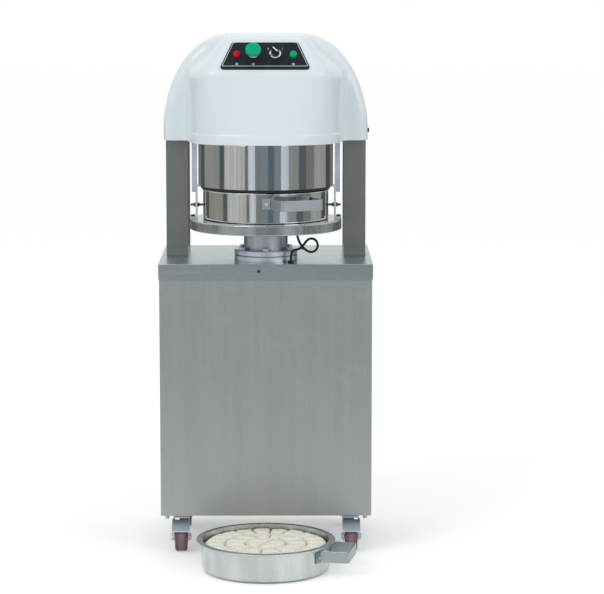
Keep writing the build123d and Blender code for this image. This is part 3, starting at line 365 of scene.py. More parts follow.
def build_edges(tree: bpy.types.NodeTree) -> None:
    """Masks of worn edges, where a rounded normal leaves the true one, which are lightened as wear and as a
    painted highlight, and of shut-in crevices, which get painted shade.

    Args:
        tree: The new group.
    """
    wiring, given, out = open_group(tree, {"Radius": FLOAT, "Reach": FLOAT}, ("Mask", "Crevice"))
    rounded = wiring.add("ShaderNodeBevel", {"Radius": given["Radius"]}, samples=MASK_SAMPLES)
    true_normal = wiring.add("ShaderNodeNewGeometry").outputs["True Normal"]
    match = wiring.vector("DOT_PRODUCT", rounded.outputs[0], true_normal)
    # Ambient occlusion finds the shut-in crevices that get painted shade.
    shut = wiring.add("ShaderNodeAmbientOcclusion", {"Distance": given["Reach"]}, samples=MASK_SAMPLES)
    wiring.feed(out["Mask"], wiring.spread(match, 0.98, 0.75))
    wiring.feed(out["Crevice"], wiring.spread(shut.outputs["AO"], 0.2, 0.8, 1.0, 0.0))


BUILDERS: dict[Effect, Callable[[bpy.types.NodeTree], None]] = {
    Effect.BRUSHED: build_brushed,
    Effect.HANDLED: build_handled,
    Effect.TURNED: build_turned,
    Effect.STREAKED: build_streaked,
    Effect.PEEL: build_peel,
    Effect.EDGES: build_edges,
}


class Grain(Enum):
    """How a sheet's brushed lines run: how fast the pattern changes along X, Y and Z, per metre."""

    UPRIGHT = (420.0, 420.0, 5.0)
    ACROSS = (5.0, 420.0, 420.0)


@dataclass(frozen=True)
class Finish:
    """A surface finish, made into one material the first time that it is used.

    Attributes:
        name: The material's name.
        colour: The main linear colour.
        roughness: The mean roughness.
    """

    name: str
    colour: Colour
    roughness: float

    def material(self) -> bpy.types.Material:
        """Returns the finish's material."""
        return finish_material(self)

    def wire(self, wiring: Wiring, shader: bpy.types.Node) -> None:
        """Wires the finish into its shader.

        Args:
            wiring: The material's wiring.
            shader: The material's shader node.
        """
        raise NotImplementedError

    def shades(self, amount: float) -> tuple[Colour, Colour]:
        """Works out a darker and a lighter shade of the colour.

        Args:
            amount: How much darker and lighter they are, as a share.

        Returns:
            The darker and the lighter shade.
        """
        dark = tuple(channel * (1 - amount) for channel in self.colour)
        light = tuple(min(1.0, channel * (1 + amount)) for channel in self.colour)
        return dark, light


@cache
def finish_material(finish: Finish) -> bpy.types.Material:
    """Makes a finish's material, once.

    Args:
        finish: The finish.

    Returns:
        The material.
    """
    made = bpy.data.materials.new(finish.name)
    made.use_nodes = True
    finish.wire(Wiring(made.node_tree), made.node_tree.nodes["Principled BSDF"])
    return made


def connect(wiring: Wiring, shader: bpy.types.Node, **sockets: object) -> None:
    """Feeds shader sockets, named with underscores for spaces, from sockets or with values.

    Args:
        wiring: The material's wiring.
        shader: The shader node.
        **sockets: A socket or a value for each input.
    """
    for name, value in sockets.items():
        wiring.feed(shader.inputs[name.replace("_", " ")], value)


def object_place(wiring: Wiring, centre: Point = (0.0, 0.0, 0.0)) -> bpy.types.NodeSocket:
    """Reads the surface's place in the object, counted from a centre.

    Args:
        wiring: The material's wiring.
        centre: The place that counts as the origin.

    Returns:
        The place's socket.
    """
    place = wiring.add("ShaderNodeTexCoord").outputs["Object"]
    shift = tuple(-part for part in centre)
    return wiring.add("ShaderNodeMapping", {"Vector": place, "Location": shift}).outputs["Vector"]


def bump(wiring: Wiring, height: object, depth: float) -> bpy.types.NodeSocket:
    """Returns a normal roughened by a height of the given depth in metres."""
    sockets = {"Height": height, "Distance": depth, "Strength": 1.0}
    return wiring.add("ShaderNodeBump", sockets).outputs[0]


def worn_with_painted_light(
    wiring: Wiring, ground: object, bright: Colour, rub_and_highlight: float, grime_and_shade: float
) -> bpy.types.NodeSocket:
    """Lightens the edges of a finish, as wear and as a painted highlight, and darkens its crevices with
    painted shade.

    Args:
        wiring: The material's wiring.
        ground: The finish's colour.
        bright: The colour of the worn edges, which also carry a painted highlight.
        rub_and_highlight: How far the edges are lightened, as wear and as a painted highlight.
        grime_and_shade: How far crevices are darkened with painted shade.

    Returns:
        The colour with its worn, highlit edges and its painted crevice shade.
    """
    masks = wiring.group(Effect.EDGES, Radius=EDGE_RADIUS, Reach=CREVICE_REACH)
    # Edges are lightened as wear and as a painted highlight; crevices are darkened with painted shade.
    worn_and_lit_edges = wiring.mix(wiring.math("MULTIPLY", masks["Mask"], rub_and_highlight), ground, bright)
    return wiring.mix(wiring.math("MULTIPLY", masks["Crevice"], grime_and_shade), worn_and_lit_edges, CREVICE_SHADE)


@dataclass(frozen=True)
class SheetSteel(Finish):
    """Stainless sheet with brushed lines, smudges of use, bright worn edges that also carry a painted
    highlight, and crevices darkened with painted shade.

    Attributes:
        grain: The direction of the lines.
        contrast: How far the lines and bands shade the colour.
        line_depth: The depth of the lines in metres.
        marks: How far smudges dull the sheet.
        mark_scale: How fine the smudges are, per metre.
        mark_shade: How much darker a smudge is.
        rub_and_highlight: How far the edges are lightened, as wear and as a painted highlight.
        grime_and_shade: How far crevices are darkened with painted shade.
    """

    grain: Grain = Grain.UPRIGHT
    contrast: float = 0.05
    line_depth: float = 4e-6
    marks: float = 0.10
    mark_scale: float = 4.0
    mark_shade: float = 0.4
    rub_and_highlight: float = 0.5
    grime_and_shade: float = 0.7

    def wire(self, wiring: Wiring, shader: bpy.types.Node) -> None:
        """Wires lines, bands, smudges and edges into the shader.

        Args:
            wiring: The material's wiring.
            shader: The material's shader node.
        """
        place = object_place(wiring)
        lines = wiring.group(Effect.BRUSHED, Vector=place, Along=self.grain.value)
        marks = wiring.group(Effect.HANDLED, Vector=place, Scale=self.mark_scale)
        bands = wiring.math("MULTIPLY", lines["Bands"], 0.5)
        both = wiring.math("MULTIPLY_ADD", lines["Lines"], 0.5, bands)
        ground = wiring.mix(both, *self.shades(self.contrast))
        smudge = wiring.math("MULTIPLY", marks["Clouds"], self.marks)
        dulled = wiring.mix(smudge, ground, self.shades(self.mark_shade)[0])
        swing = self.contrast / 2
        streaked = wiring.spread(lines["Lines"], 0.0, 1.0, self.roughness - swing, self.roughness + swing)
        # Edges are lightened as wear and as a painted highlight, and crevices are darkened with painted
        # shade.
        connect(
            wiring,
            shader,
            Base_Color=worn_with_painted_light(wiring, dulled, BRIGHT_EDGE, self.rub_and_highlight, self.grime_and_shade),
            Roughness=wiring.math("MULTIPLY_ADD", marks["Wipes"], self.marks, streaked),
            Metallic=1.0,
            Normal=bump(wiring, lines["Lines"], self.line_depth),
        )


@dataclass(frozen=True)
class RoundSteel(Finish):
    """Drawn, spun or turned steel round an upright axis, with upright streaks that are painted reflections,
    and tool rings.

    Attributes:
        axis: The X and Y of the axis.
        pitch: How fine the tool rings are, per metre.
        rings: How far the rings shade the colour.
        ring_shade: How much darker a ring's groove is.
        ring_depth: The depth of the rings in metres.
        streaks: How far the upright streaks, which are painted reflections, shade the colour.
        count: How many streaks go round.
        marks: How far wipes dull the gloss.
        mark_scale: How fine the wipes are, per metre.
        rub_and_highlight: How far the edges are lightened, as wear and as a painted highlight.
        grime_and_shade: How far crevices are darkened with painted shade.
    """

    axis: tuple[float, float] = (0.0, 0.0)
    pitch: float = 320.0
    rings: float = 0.06
    ring_shade: float = 0.6
    ring_depth: float = 2e-6
    streaks: float = 0.06
    count: float = 2.5
    marks: float = 0.04
    mark_scale: float = 6.0
    rub_and_highlight: float = 0.5
    grime_and_shade: float = 0.8

    def wire(self, wiring: Wiring, shader: bpy.types.Node) -> None:
        """Wires rings, streaks and smudges into the shader.

        Args:
            wiring: The material's wiring.
            shader: The material's shader node.
        """
        place = object_place(wiring, (*self.axis, 0.0))
        rings = wiring.group(Effect.TURNED, Vector=place, Pitch=self.pitch)
        streaks = wiring.group(Effect.STREAKED, Vector=place, Count=self.count)
        marks = wiring.group(Effect.HANDLED, Vector=place, Scale=self.mark_scale)
        # The upright streaks are painted reflections of the surroundings.
        ground = wiring.mix(streaks["Streaks"], *self.shades(self.streaks))
        groove = wiring.math("MULTIPLY", rings["Rings"], self.rings)
        ringed = wiring.mix(groove, ground, self.shades(self.ring_shade)[0])
        fine = wiring.spread(streaks["Fine"], 0.0, 1.0, self.roughness * 0.85, self.roughness * 1.2)
        # Edges are lightened as wear and as a painted highlight, and crevices are darkened with painted
        # shade.
        connect(
            wiring,
            shader,
            Base_Color=worn_with_painted_light(wiring, ringed, BRIGHT_EDGE, self.rub_and_highlight, self.grime_and_shade),
            Roughness=wiring.math("MULTIPLY_ADD", marks["Wipes"], self.marks, fine),
            Metallic=1.0,
            Normal=bump(wiring, rings["Rings"], self.ring_depth),
        )


@dataclass(frozen=True)
class Moulded(Finish):
    """Moulded plastic, rubber, enamel or the white shell: a wavy skin with faint soiling.

    Attributes:
        peel: How fine the waves are, per metre.
        peel_depth: The depth of the waves in metres.
        coat: How much clear gloss lies on top.
        soil: How far soiling shades the colour.
        gloss: How strongly the skin itself reflects.
        scuff: How far wipes dull the gloss.
        mark_scale: How fine the soiling and the wipes are, per metre.
        rub_and_highlight: How far the edges are made pale, as wear and as a painted highlight.
        rub_shade: How much paler a worn, highlit edge is.
        grime_and_shade: How far crevices are darkened with painted shade.
    """

    peel: float = 260.0
    peel_depth: float = 1e-5
    coat: float = 0.0
    soil: float = 0.08
    gloss: float = 0.5
    scuff: float = 0.06
    mark_scale: float = 5.0
    rub_and_highlight: float = 0.25
    rub_shade: float = 0.3
    grime_and_shade: float = 0.35

    def wire(self, wiring: Wiring, shader: bpy.types.Node) -> None:
        """Wires waves and soiling into the shader.

        Args:
            wiring: The material's wiring.
            shader: The material's shader node.
        """
        place = object_place(wiring)
        waves = wiring.group(Effect.PEEL, Vector=place, Scale=self.peel)
        marks = wiring.group(Effect.HANDLED, Vector=place, Scale=self.mark_scale)
        dark, light = self.shades(self.soil)
        clouded = wiring.mix(marks["Clouds"], light, dark)
        # Edges are lightened as wear and as a painted highlight, and crevices are darkened with painted
        # shade.
        connect(
            wiring,
            shader,
            Base_Color=worn_with_painted_light(wiring, clouded, self.shades(self.rub_shade)[1], self.rub_and_highlight, self.grime_and_shade),
            Roughness=wiring.math("MULTIPLY_ADD", marks["Wipes"], self.scuff, self.roughness),
            Metallic=0.0,
            Specular_IOR_Level=self.gloss,
            Coat_Weight=self.coat,
            Coat_Roughness=0.06,
            Normal=bump(wiring, waves["Height"], self.peel_depth),
        )


@dataclass(frozen=True)
class Plated(Finish):
    """Zinc plate or chrome: bright metal with a clouded tint.

    Attributes:
        tint: The colour of the clouds.
        clouds: How far the clouds show.
        metal: How metallic the plate is: a matt, passivated plate is less so.
        bright: The colour of worn edges, which also carry a painted highlight.
        scuff: How far wipes dull the gloss.
        mark_scale: How fine the clouds and the wipes are, per metre.
        peel: How fine the plate's waves are, per metre.
        peel_depth: The depth of those waves in metres.
        rub_and_highlight: How far the edges are lightened, as wear and as a painted highlight.
        grime_and_shade: How far crevices are darkened with painted shade.
    """

    tint: Colour = (0.45, 0.52, 0.60)
    clouds: float = 0.35
    metal: float = 1.0
    bright: Colour = (0.88, 0.89, 0.90)
    scuff: float = 0.12
    mark_scale: float = 18.0
    peel: float = 500.0
    peel_depth: float = 4e-6
    rub_and_highlight: float = 0.5
    grime_and_shade: float = 0.6

    def wire(self, wiring: Wiring, shader: bpy.types.Node) -> None:
        """Wires the clouded plate into the shader.

        Args:
            wiring: The material's wiring.
            shader: The material's shader node.
        """
        place = object_place(wiring)
        marks = wiring.group(Effect.HANDLED, Vector=place, Scale=self.mark_scale)
        waves = wiring.group(Effect.PEEL, Vector=place, Scale=self.peel)
        ground = wiring.mix(wiring.math("MULTIPLY", marks["Clouds"], self.clouds), self.colour, self.tint)
        # Edges are lightened as wear and as a painted highlight, and crevices are darkened with painted
        # shade.
        connect(
            wiring,
            shader,
            Base_Color=worn_with_painted_light(wiring, ground, self.bright, self.rub_and_highlight, self.grime_and_shade),
            Roughness=wiring.math("MULTIPLY_ADD", marks["Wipes"], self.scuff, self.roughness),
            Metallic=self.metal,
            Normal=bump(wiring, waves["Height"], self.peel_depth),
        )


@dataclass(frozen=True)
class Lens(Finish):
    """A coloured lamp lens with moulded ribs round its own axis.

    Attributes:
        centre: The middle of the lens.
        radius: Where its colour is deepest.
        rib: How far apart the ribs lie, in metres.
        rib_depth: The depth of the ribs in metres.
        deepening: How far the colour deepens from the middle out.
    """

    centre: Point = (0.0, 0.0, 0.0)
    radius: float = 0.010
    rib: float = 1 / 450
    rib_depth: float = 6e-5
    deepening: float = 0.35

    def wire(self, wiring: Wiring, shader: bpy.types.Node) -> None:
        """Wires the ribbed lens into the shader.

        Args:
            wiring: The material's wiring.
            shader: The material's shader node.
        """
        place = object_place(wiring, self.centre)
        reach = wiring.vector("LENGTH", place)
        ribs = wiring.math("SINE", wiring.math("MULTIPLY", reach, math.tau / self.rib))
        dark, light = self.shades(self.deepening)
        connect(
            wiring,
            shader,
            Base_Color=wiring.mix(wiring.spread(reach, 0.0, self.radius), light, dark),
            Roughness=wiring.spread(ribs, -1.0, 1.0, self.roughness, self.roughness + 0.08),
            Metallic=0.0,
            Specular_IOR_Level=0.15,
            Coat_Weight=0.06,
            Coat_Roughness=0.08,
            Normal=bump(wiring, ribs, self.rib_depth),
        )


@dataclass(frozen=True)
class Tread(Finish):
    """A caster wheel: a coloured tread, scuffed to grey along its middle, round a grey hub.

    Attributes:
        axle: The Y and Z of the axle.
        centre_x: The X of the wheel's middle plane.
        hub_radius: Where the tread begins.
        hub_edge: Half the width over which hub and tread blend.
        hub: The hub's colour.
        scuff: The colour of the worn band.
        band: How far from the middle plane the worn band begins to fade, and where it ends.
        grime_scale: How fine the grime is, per metre.
        grime_depth: The depth of the grime in metres.
    """

    axle: tuple[float, float] = (0.0, 0.0)
    centre_x: float = 0.0
    hub_radius: float = 0.024
    hub_edge: float = 0.0008
    hub: Colour = tone(92, 92, 96)
    scuff: Colour = tone(132, 126, 128)
    band: tuple[float, float] = (0.004, 0.010)
    grime_scale: float = 160.0
    grime_depth: float = 6e-5

    def wire(self, wiring: Wiring, shader: bpy.types.Node) -> None:
        """Wires tread, scuffed band and hub into the shader.

        Args:
            wiring: The material's wiring.
            shader: The material's shader node.
        """
        place = object_place(wiring, (self.centre_x, *self.axle))
        parts = wiring.parts(place)
        reach = wiring.vector("LENGTH", wiring.joined(Y=parts["Y"], Z=parts["Z"]))
        grime_and_shade = wiring.noise(place, self.grime_scale, 5.0)
        band = wiring.spread(wiring.math("ABSOLUTE", parts["X"]), *self.band, 1.0, 0.0)
        worn = wiring.math("MULTIPLY", band, wiring.spread(grime_and_shade, 0.3, 0.55, 0.4, 1.0))
        tread = wiring.mix(worn, self.colour, self.scuff)
        is_tread = wiring.spread(reach, self.hub_radius - self.hub_edge, self.hub_radius + self.hub_edge)
        connect(
            wiring,
            shader,
            Base_Color=wiring.mix(is_tread, self.hub, tread),
            Roughness=wiring.spread(grime_and_shade, 0.3, 0.7, self.roughness - 0.08, self.roughness + 0.12),
            Metallic=0.0,
            Normal=bump(wiring, grime_and_shade, self.grime_depth),
        )


@dataclass(frozen=True)
class DoughSkin(Finish):
    """Soft dough: warm and pale, dusted with flour, with fine wrinkles.

    Attributes:
        flour: The colour of the flour.
        crease: The colour deep in the cuts.
        cut: The attribute that holds how deep in a cut a point lies, from 0 to 1.
        dusting: How thickly the flour lies.
        dust_scale: How fine the flour's patches are, per metre.
        wrinkle_scale: How fine the wrinkles are, per metre.
        wrinkle_depth: The depth of the wrinkles in metres.
    """

    flour: Colour = tone(255, 254, 247)
    crease: Colour = tone(226, 218, 186)
    cut: str = "cut"
    dusting: float = 0.7
    dust_scale: float = 22.0
    wrinkle_scale: float = 420.0
    wrinkle_depth: float = 1.2e-4

    def wire(self, wiring: Wiring, shader: bpy.types.Node) -> None:
        """Wires flour, creases and wrinkles into the shader.

        Args:
            wiring: The material's wiring.
            shader: The material's shader node.
        """
        place = object_place(wiring)
        deep = wiring.add("ShaderNodeAttribute", attribute_name=self.cut).outputs["Fac"]
        clouds = wiring.group(Effect.HANDLED, Vector=place, Scale=self.dust_scale)
        wrinkles = wiring.noise(place, self.wrinkle_scale, 6.0)
        dusted = wiring.mix(wiring.math("MULTIPLY", clouds["Wipes"], self.dusting), self.colour, self.flour)
        connect(
            wiring,
            shader,
            Base_Color=wiring.mix(deep, dusted, self.crease),
            Roughness=wiring.spread(clouds["Clouds"], 0.0, 1.0, self.roughness, self.roughness + 0.2),
            Metallic=0.0,
            Subsurface_Weight=0.15,
            Subsurface_Scale=0.01,
            Normal=bump(wiring, wrinkles, self.wrinkle_depth),
        )


@dataclass(frozen=True)
class Threaded(Finish):
    """A plated screw thread along X.

    Attributes:
        pitch: The thread's pitch in metres.
        thread_depth: The depth of its shading in metres.
        contrast: How far the thread shades the colour.
        dirt_scale: How fine the dirt is, per metre.
    """

    pitch: float = 0.001
    thread_depth: float = 1.5e-4
    contrast: float = 0.3
    dirt_scale: float = 300.0

    def wire(self, wiring: Wiring, shader: bpy.types.Node) -> None:
        """Wires the thread and its dirt into the shader.

        Args:
            wiring: The material's wiring.
            shader: The material's shader node.
        """
        place = object_place(wiring)
        along = wiring.math("MULTIPLY", wiring.parts(place)["X"], math.tau / self.pitch)
        thread = wiring.math("SINE", along)
        dirt = wiring.noise(place, self.dirt_scale, 4.0)
        connect(
            wiring,
            shader,
            Base_Color=wiring.mix(wiring.spread(thread, -1.0, 1.0), *self.shades(self.contrast)),
            Roughness=wiring.spread(dirt, 0.3, 0.7, self.roughness - 0.06, self.roughness + 0.12),
            Metallic=1.0,
            Normal=bump(wiring, thread, self.thread_depth),
        )


def dress(finish: Finish, *nodes: str) -> None:
    """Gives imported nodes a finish.

    Args:
        finish: The finish.
        *nodes: The nodes' names.
    """
    for node in nodes:
        for slot in frame["nodes"][node].material_slots:
            slot.material = finish.material()
        log.info("dressed %s in %s", node, finish.name)


class Bench:
    """Modelling by hand: one object at a time, shaped with Blender's own operators."""

    @staticmethod
    def clear() -> None:
        """Leaves edit mode and deselects everything."""
        if bpy.context.object is not None and bpy.context.object.mode != "OBJECT":
            bpy.ops.object.mode_set(mode="OBJECT")
        bpy.ops.object.select_all(action="DESELECT")

    @staticmethod
    def take(piece: bpy.types.Object) -> None:
        """Selects one object and makes it the active one.

        Args:
            piece: The object.
        """
        Bench.clear()
        piece.select_set(True)
        bpy.context.view_layer.objects.active = piece

    @staticmethod
    def start(name: str, primitive: Callable[..., object], **sizes: object) -> bpy.types.Object:
        """Adds a primitive as the start of a piece.

        Args:
            name: The piece's name.
            primitive: The operator that adds it.
            **sizes: The operator's sizes and place.

        Returns:
            The new object.
        """
        Bench.clear()
        primitive(**sizes)
        piece = bpy.context.object
        piece.name = name
        piece.data.name = name
        Bench.take(piece)
        return piece

    @staticmethod
    def copy_of(node: str, name: str) -> bpy.types.Object:
        """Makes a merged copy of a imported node's mesh as a new object.

        Args:
            node: The node to copy.
            name: The copy's name.

        Returns:
            The copy.
        """
        mesh = frame["nodes"][node].data.copy()
        mesh.name = name
        piece = bpy.data.objects.new(name, mesh)
        bpy.context.scene.collection.objects.link(piece)
        Bench.take(piece)
        bpy.ops.object.mode_set(mode="EDIT")
        bpy.ops.mesh.customdata_custom_splitnormals_clear()
        bpy.ops.mesh.select_all(action="SELECT")
        bpy.ops.mesh.remove_doubles(threshold=MERGE)
        bpy.ops.object.mode_set(mode="OBJECT")
        return piece

    @staticmethod
    def copy(piece: bpy.types.Object, name: str) -> bpy.types.Object:
        """Copies a piece with a mesh of its own.

        Args:
            piece: The piece to copy.
            name: The copy's name.

        Returns:
            The copy.
        """
        other = piece.copy()
        other.data = piece.data.copy()
        other.name = name
        other.data.name = name
        bpy.context.scene.collection.objects.link(other)
        return other

    @staticmethod
    def pick_faces(piece: bpy.types.Object, test: Callable[[bpy.types.MeshPolygon], bool]) -> None:
        """Selects the faces that pass a test and leaves the piece in edit mode.

        Args:
            piece: The piece.
            test: Says whether a face is picked.
        """
        Bench.take(piece)
        bpy.ops.object.mode_set(mode="EDIT")
        bpy.ops.mesh.select_mode(type="FACE")
        bpy.ops.mesh.select_all(action="DESELECT")
        bpy.ops.object.mode_set(mode="OBJECT")
        for face in piece.data.polygons:
            face.select = test(face)
        bpy.ops.object.mode_set(mode="EDIT")

    @staticmethod
    def pick_rim() -> None:
        """Selects the edges of the open rims, in edit mode."""
        bpy.ops.mesh.select_mode(type="EDGE")
        bpy.ops.mesh.select_all(action="DESELECT")
        bpy.ops.mesh.select_non_manifold()

    @staticmethod
    def extrude(way: Point) -> None:
        """Extrudes the selected faces along a way."""
        bpy.ops.mesh.extrude_region_move(TRANSFORM_OT_translate={"value": way})

    @staticmethod
    def extrude_rim(way: Point) -> None:
        """Extrudes the selected edges along a way."""
        bpy.ops.mesh.extrude_edges_move(TRANSFORM_OT_translate={"value": way})

    @staticmethod
    def turn_outwards() -> None:
        """Turns all faces outwards, in edit mode."""
        bpy.ops.mesh.select_all(action="SELECT")
        bpy.ops.mesh.normals_make_consistent(inside=False)

    @staticmethod
    def modify(piece: bpy.types.Object, kind: str, **settings: object) -> None:
        """Adds a modifier and applies it.

        Args:
            piece: The piece.
            kind: The modifier's type.
            **settings: The modifier's properties.
        """
        Bench.take(piece)
        modifier = piece.modifiers.new(kind.lower(), kind)
        for key, value in settings.items():
            setattr(modifier, key, value)
        bpy.ops.object.modifier_apply(modifier=modifier.name)

    @staticmethod
    def settle(piece: bpy.types.Object, place: Matrix | None = None, angle: float = 35.0) -> bpy.types.Object:
        """Puts a piece's place into its mesh and smooths its faces.

        Args:
            piece: The piece.
            place: Where to set it before its place is applied.
            angle: Edges flatter than this, in degrees, are smoothed.

        Returns:
            The piece.
        """
        Bench.take(piece)
        if place is not None:
            piece.matrix_world = place
        bpy.ops.object.transform_apply(location=True, rotation=True, scale=True)
        bpy.ops.object.shade_smooth_by_angle(angle=math.radians(angle))
        return piece


def fit(piece: bpy.types.Object, finish: Finish, body: str, slot: str, *nodes: str) -> bpy.types.Object:
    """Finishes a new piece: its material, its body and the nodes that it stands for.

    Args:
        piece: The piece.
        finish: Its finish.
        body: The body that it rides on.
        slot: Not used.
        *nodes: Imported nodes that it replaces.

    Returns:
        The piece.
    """
    piece.data.materials.clear()
    piece.data.materials.append(finish.material())
    if "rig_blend" not in piece:
        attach(piece, body)
    if nodes:
        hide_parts(*nodes)
    log.info("made %s on %s", piece.name, body)
    return piece


PRESS_AXIS = tuple(middle("platform").xy)
SPARE_AXIS = tuple(middle("dough_portions").xy)

CABINET_STEEL = SheetSteel("cabinet_steel", tone(167, 172, 171), 0.40, marks=0.05)
POST_STEEL = SheetSteel("post_steel", tone(134, 137, 137), 0.32, marks=0.05)
TABLE_STEEL = SheetSteel(
    "table_steel", tone(166, 178, 179), 0.28, Grain.ACROSS, contrast=0.03, line_depth=1e-6, marks=0.04
)
BAR_STEEL = SheetSteel("bar_steel", tone(214, 222, 228), 0.30)
BRACKET_STEEL = SheetSteel("bracket_steel", tone(214, 219, 220), 0.34, Grain.ACROSS)
HANDLE_STEEL = SheetSteel("handle_steel", tone(172, 182, 186), 0.34, Grain.ACROSS)
# The spare pan's handle takes a darker copy of the handle steel: painted shade.
SPARE_HANDLE = SheetSteel("spare_handle_shaded_steel", tone(160, 169, 172), 0.38, Grain.ACROSS)

SKIRT_STEEL = RoundSteel("skirt_steel", tone(222, 224, 226), 0.06, PRESS_AXIS, rings=0.02)
PAN_STEEL = RoundSteel("pan_steel", tone(220, 222, 223), 0.08, PRESS_AXIS, rings=0.03)
SPARE_STEEL = RoundSteel("spare_pan_steel", tone(196, 202, 201), 0.24, SPARE_AXIS, streaks=0.12)
PLATFORM_STEEL = RoundSteel("platform_steel", tone(172, 177, 179), 0.22, PRESS_AXIS, streaks=0.04)
TURNED_STEEL = RoundSteel("turned_steel", tone(206, 214, 225), 0.32, PRESS_AXIS, streaks=0.04)
RAM_STEEL = RoundSteel("ram_steel", tone(182, 187, 194), 0.38, PRESS_AXIS, rings=0.04, streaks=0.08)
KNIFE_STEEL = RoundSteel("knife_steel", tone(196, 200, 204), 0.16, PRESS_AXIS, rings=0.04, streaks=0.10)
SCREW_THREAD = Threaded("screw_thread", tone(86, 88, 92), 0.34)

ZINC = Plated("zinc_plate", tone(200, 211, 218), 0.44, tone(176, 192, 204))
PASSIVATED = Plated("passivated_zinc", tone(198, 216, 226), 0.42, tone(182, 204, 218), metal=0.4)
BLACK_OXIDE = Plated("black_oxide", tone(64, 66, 70), 0.36, tone(44, 46, 50))
CHROME = Plated("chrome", tone(226, 228, 230), 0.10, tone(196, 200, 204), clouds=0.2)
ALLOY = Plated("alloy", tone(196, 198, 200), 0.34, tone(160, 164, 168))

WHITE_SHELL = Moulded(
    "white_shell", tone(229, 241, 246), 0.34, 90.0, 1.2e-5, coat=0.45, soil=0.015, scuff=0.0
)
PANEL_DARK = Moulded("panel_dark", tone(28, 39, 45), 0.45, 900.0, 6e-6, soil=0.10, gloss=0.12)
GREEN_PLASTIC = Moulded("green_plastic", tone(0, 168, 132), 0.36, 500.0, 6e-6, coat=0.04, gloss=0.12)
BLACK_PLASTIC = Moulded("black_plastic", tone(28, 29, 30), 0.42, 700.0, 1.5e-5, soil=0.2)
BLACK_RUBBER = Moulded("black_rubber", tone(26, 26, 27), 0.60, 500.0, 3e-5, soil=0.25)
WHITE_PLASTIC = Moulded("white_plastic", tone(238, 238, 232), 0.40, 400.0, 1.5e-5)
GREY_ENAMEL = Moulded("grey_enamel", tone(98, 106, 112), 0.40, 180.0, 3e-5, coat=0.2)
BLUE_ENAMEL = Moulded("blue_enamel", tone(64, 92, 132), 0.36, 180.0, 3e-5, coat=0.3)
PRINT_WHITE = Moulded("print_white", tone(226, 230, 230), 0.45, 900.0, 3e-6, soil=0.04)


@dataclass(frozen=True)
class Softbox:
    """One soft square lamp.

    Attributes:
        name: The lamp's name.
        place: Where it hangs.
        aim: The point that it faces.
        side: The side of its face.
        power: Its power in watts.
    """

    name: str
    place: Point
    aim: Point
    side: float
    power: float

    def hang(self) -> None:
        """Adds the lamp to the scene."""
        lamp = bpy.data.lights.new(self.name, "AREA")
        lamp.shape = "SQUARE"
        lamp.size = self.side
        lamp.energy = self.power
        holder = bpy.data.objects.new(self.name, lamp)
        holder.location = self.place
        holder.rotation_euler = (Vector(self.aim) - Vector(self.place)).to_track_quat("-Z", "Y").to_euler()
        bpy.context.scene.collection.objects.link(holder)


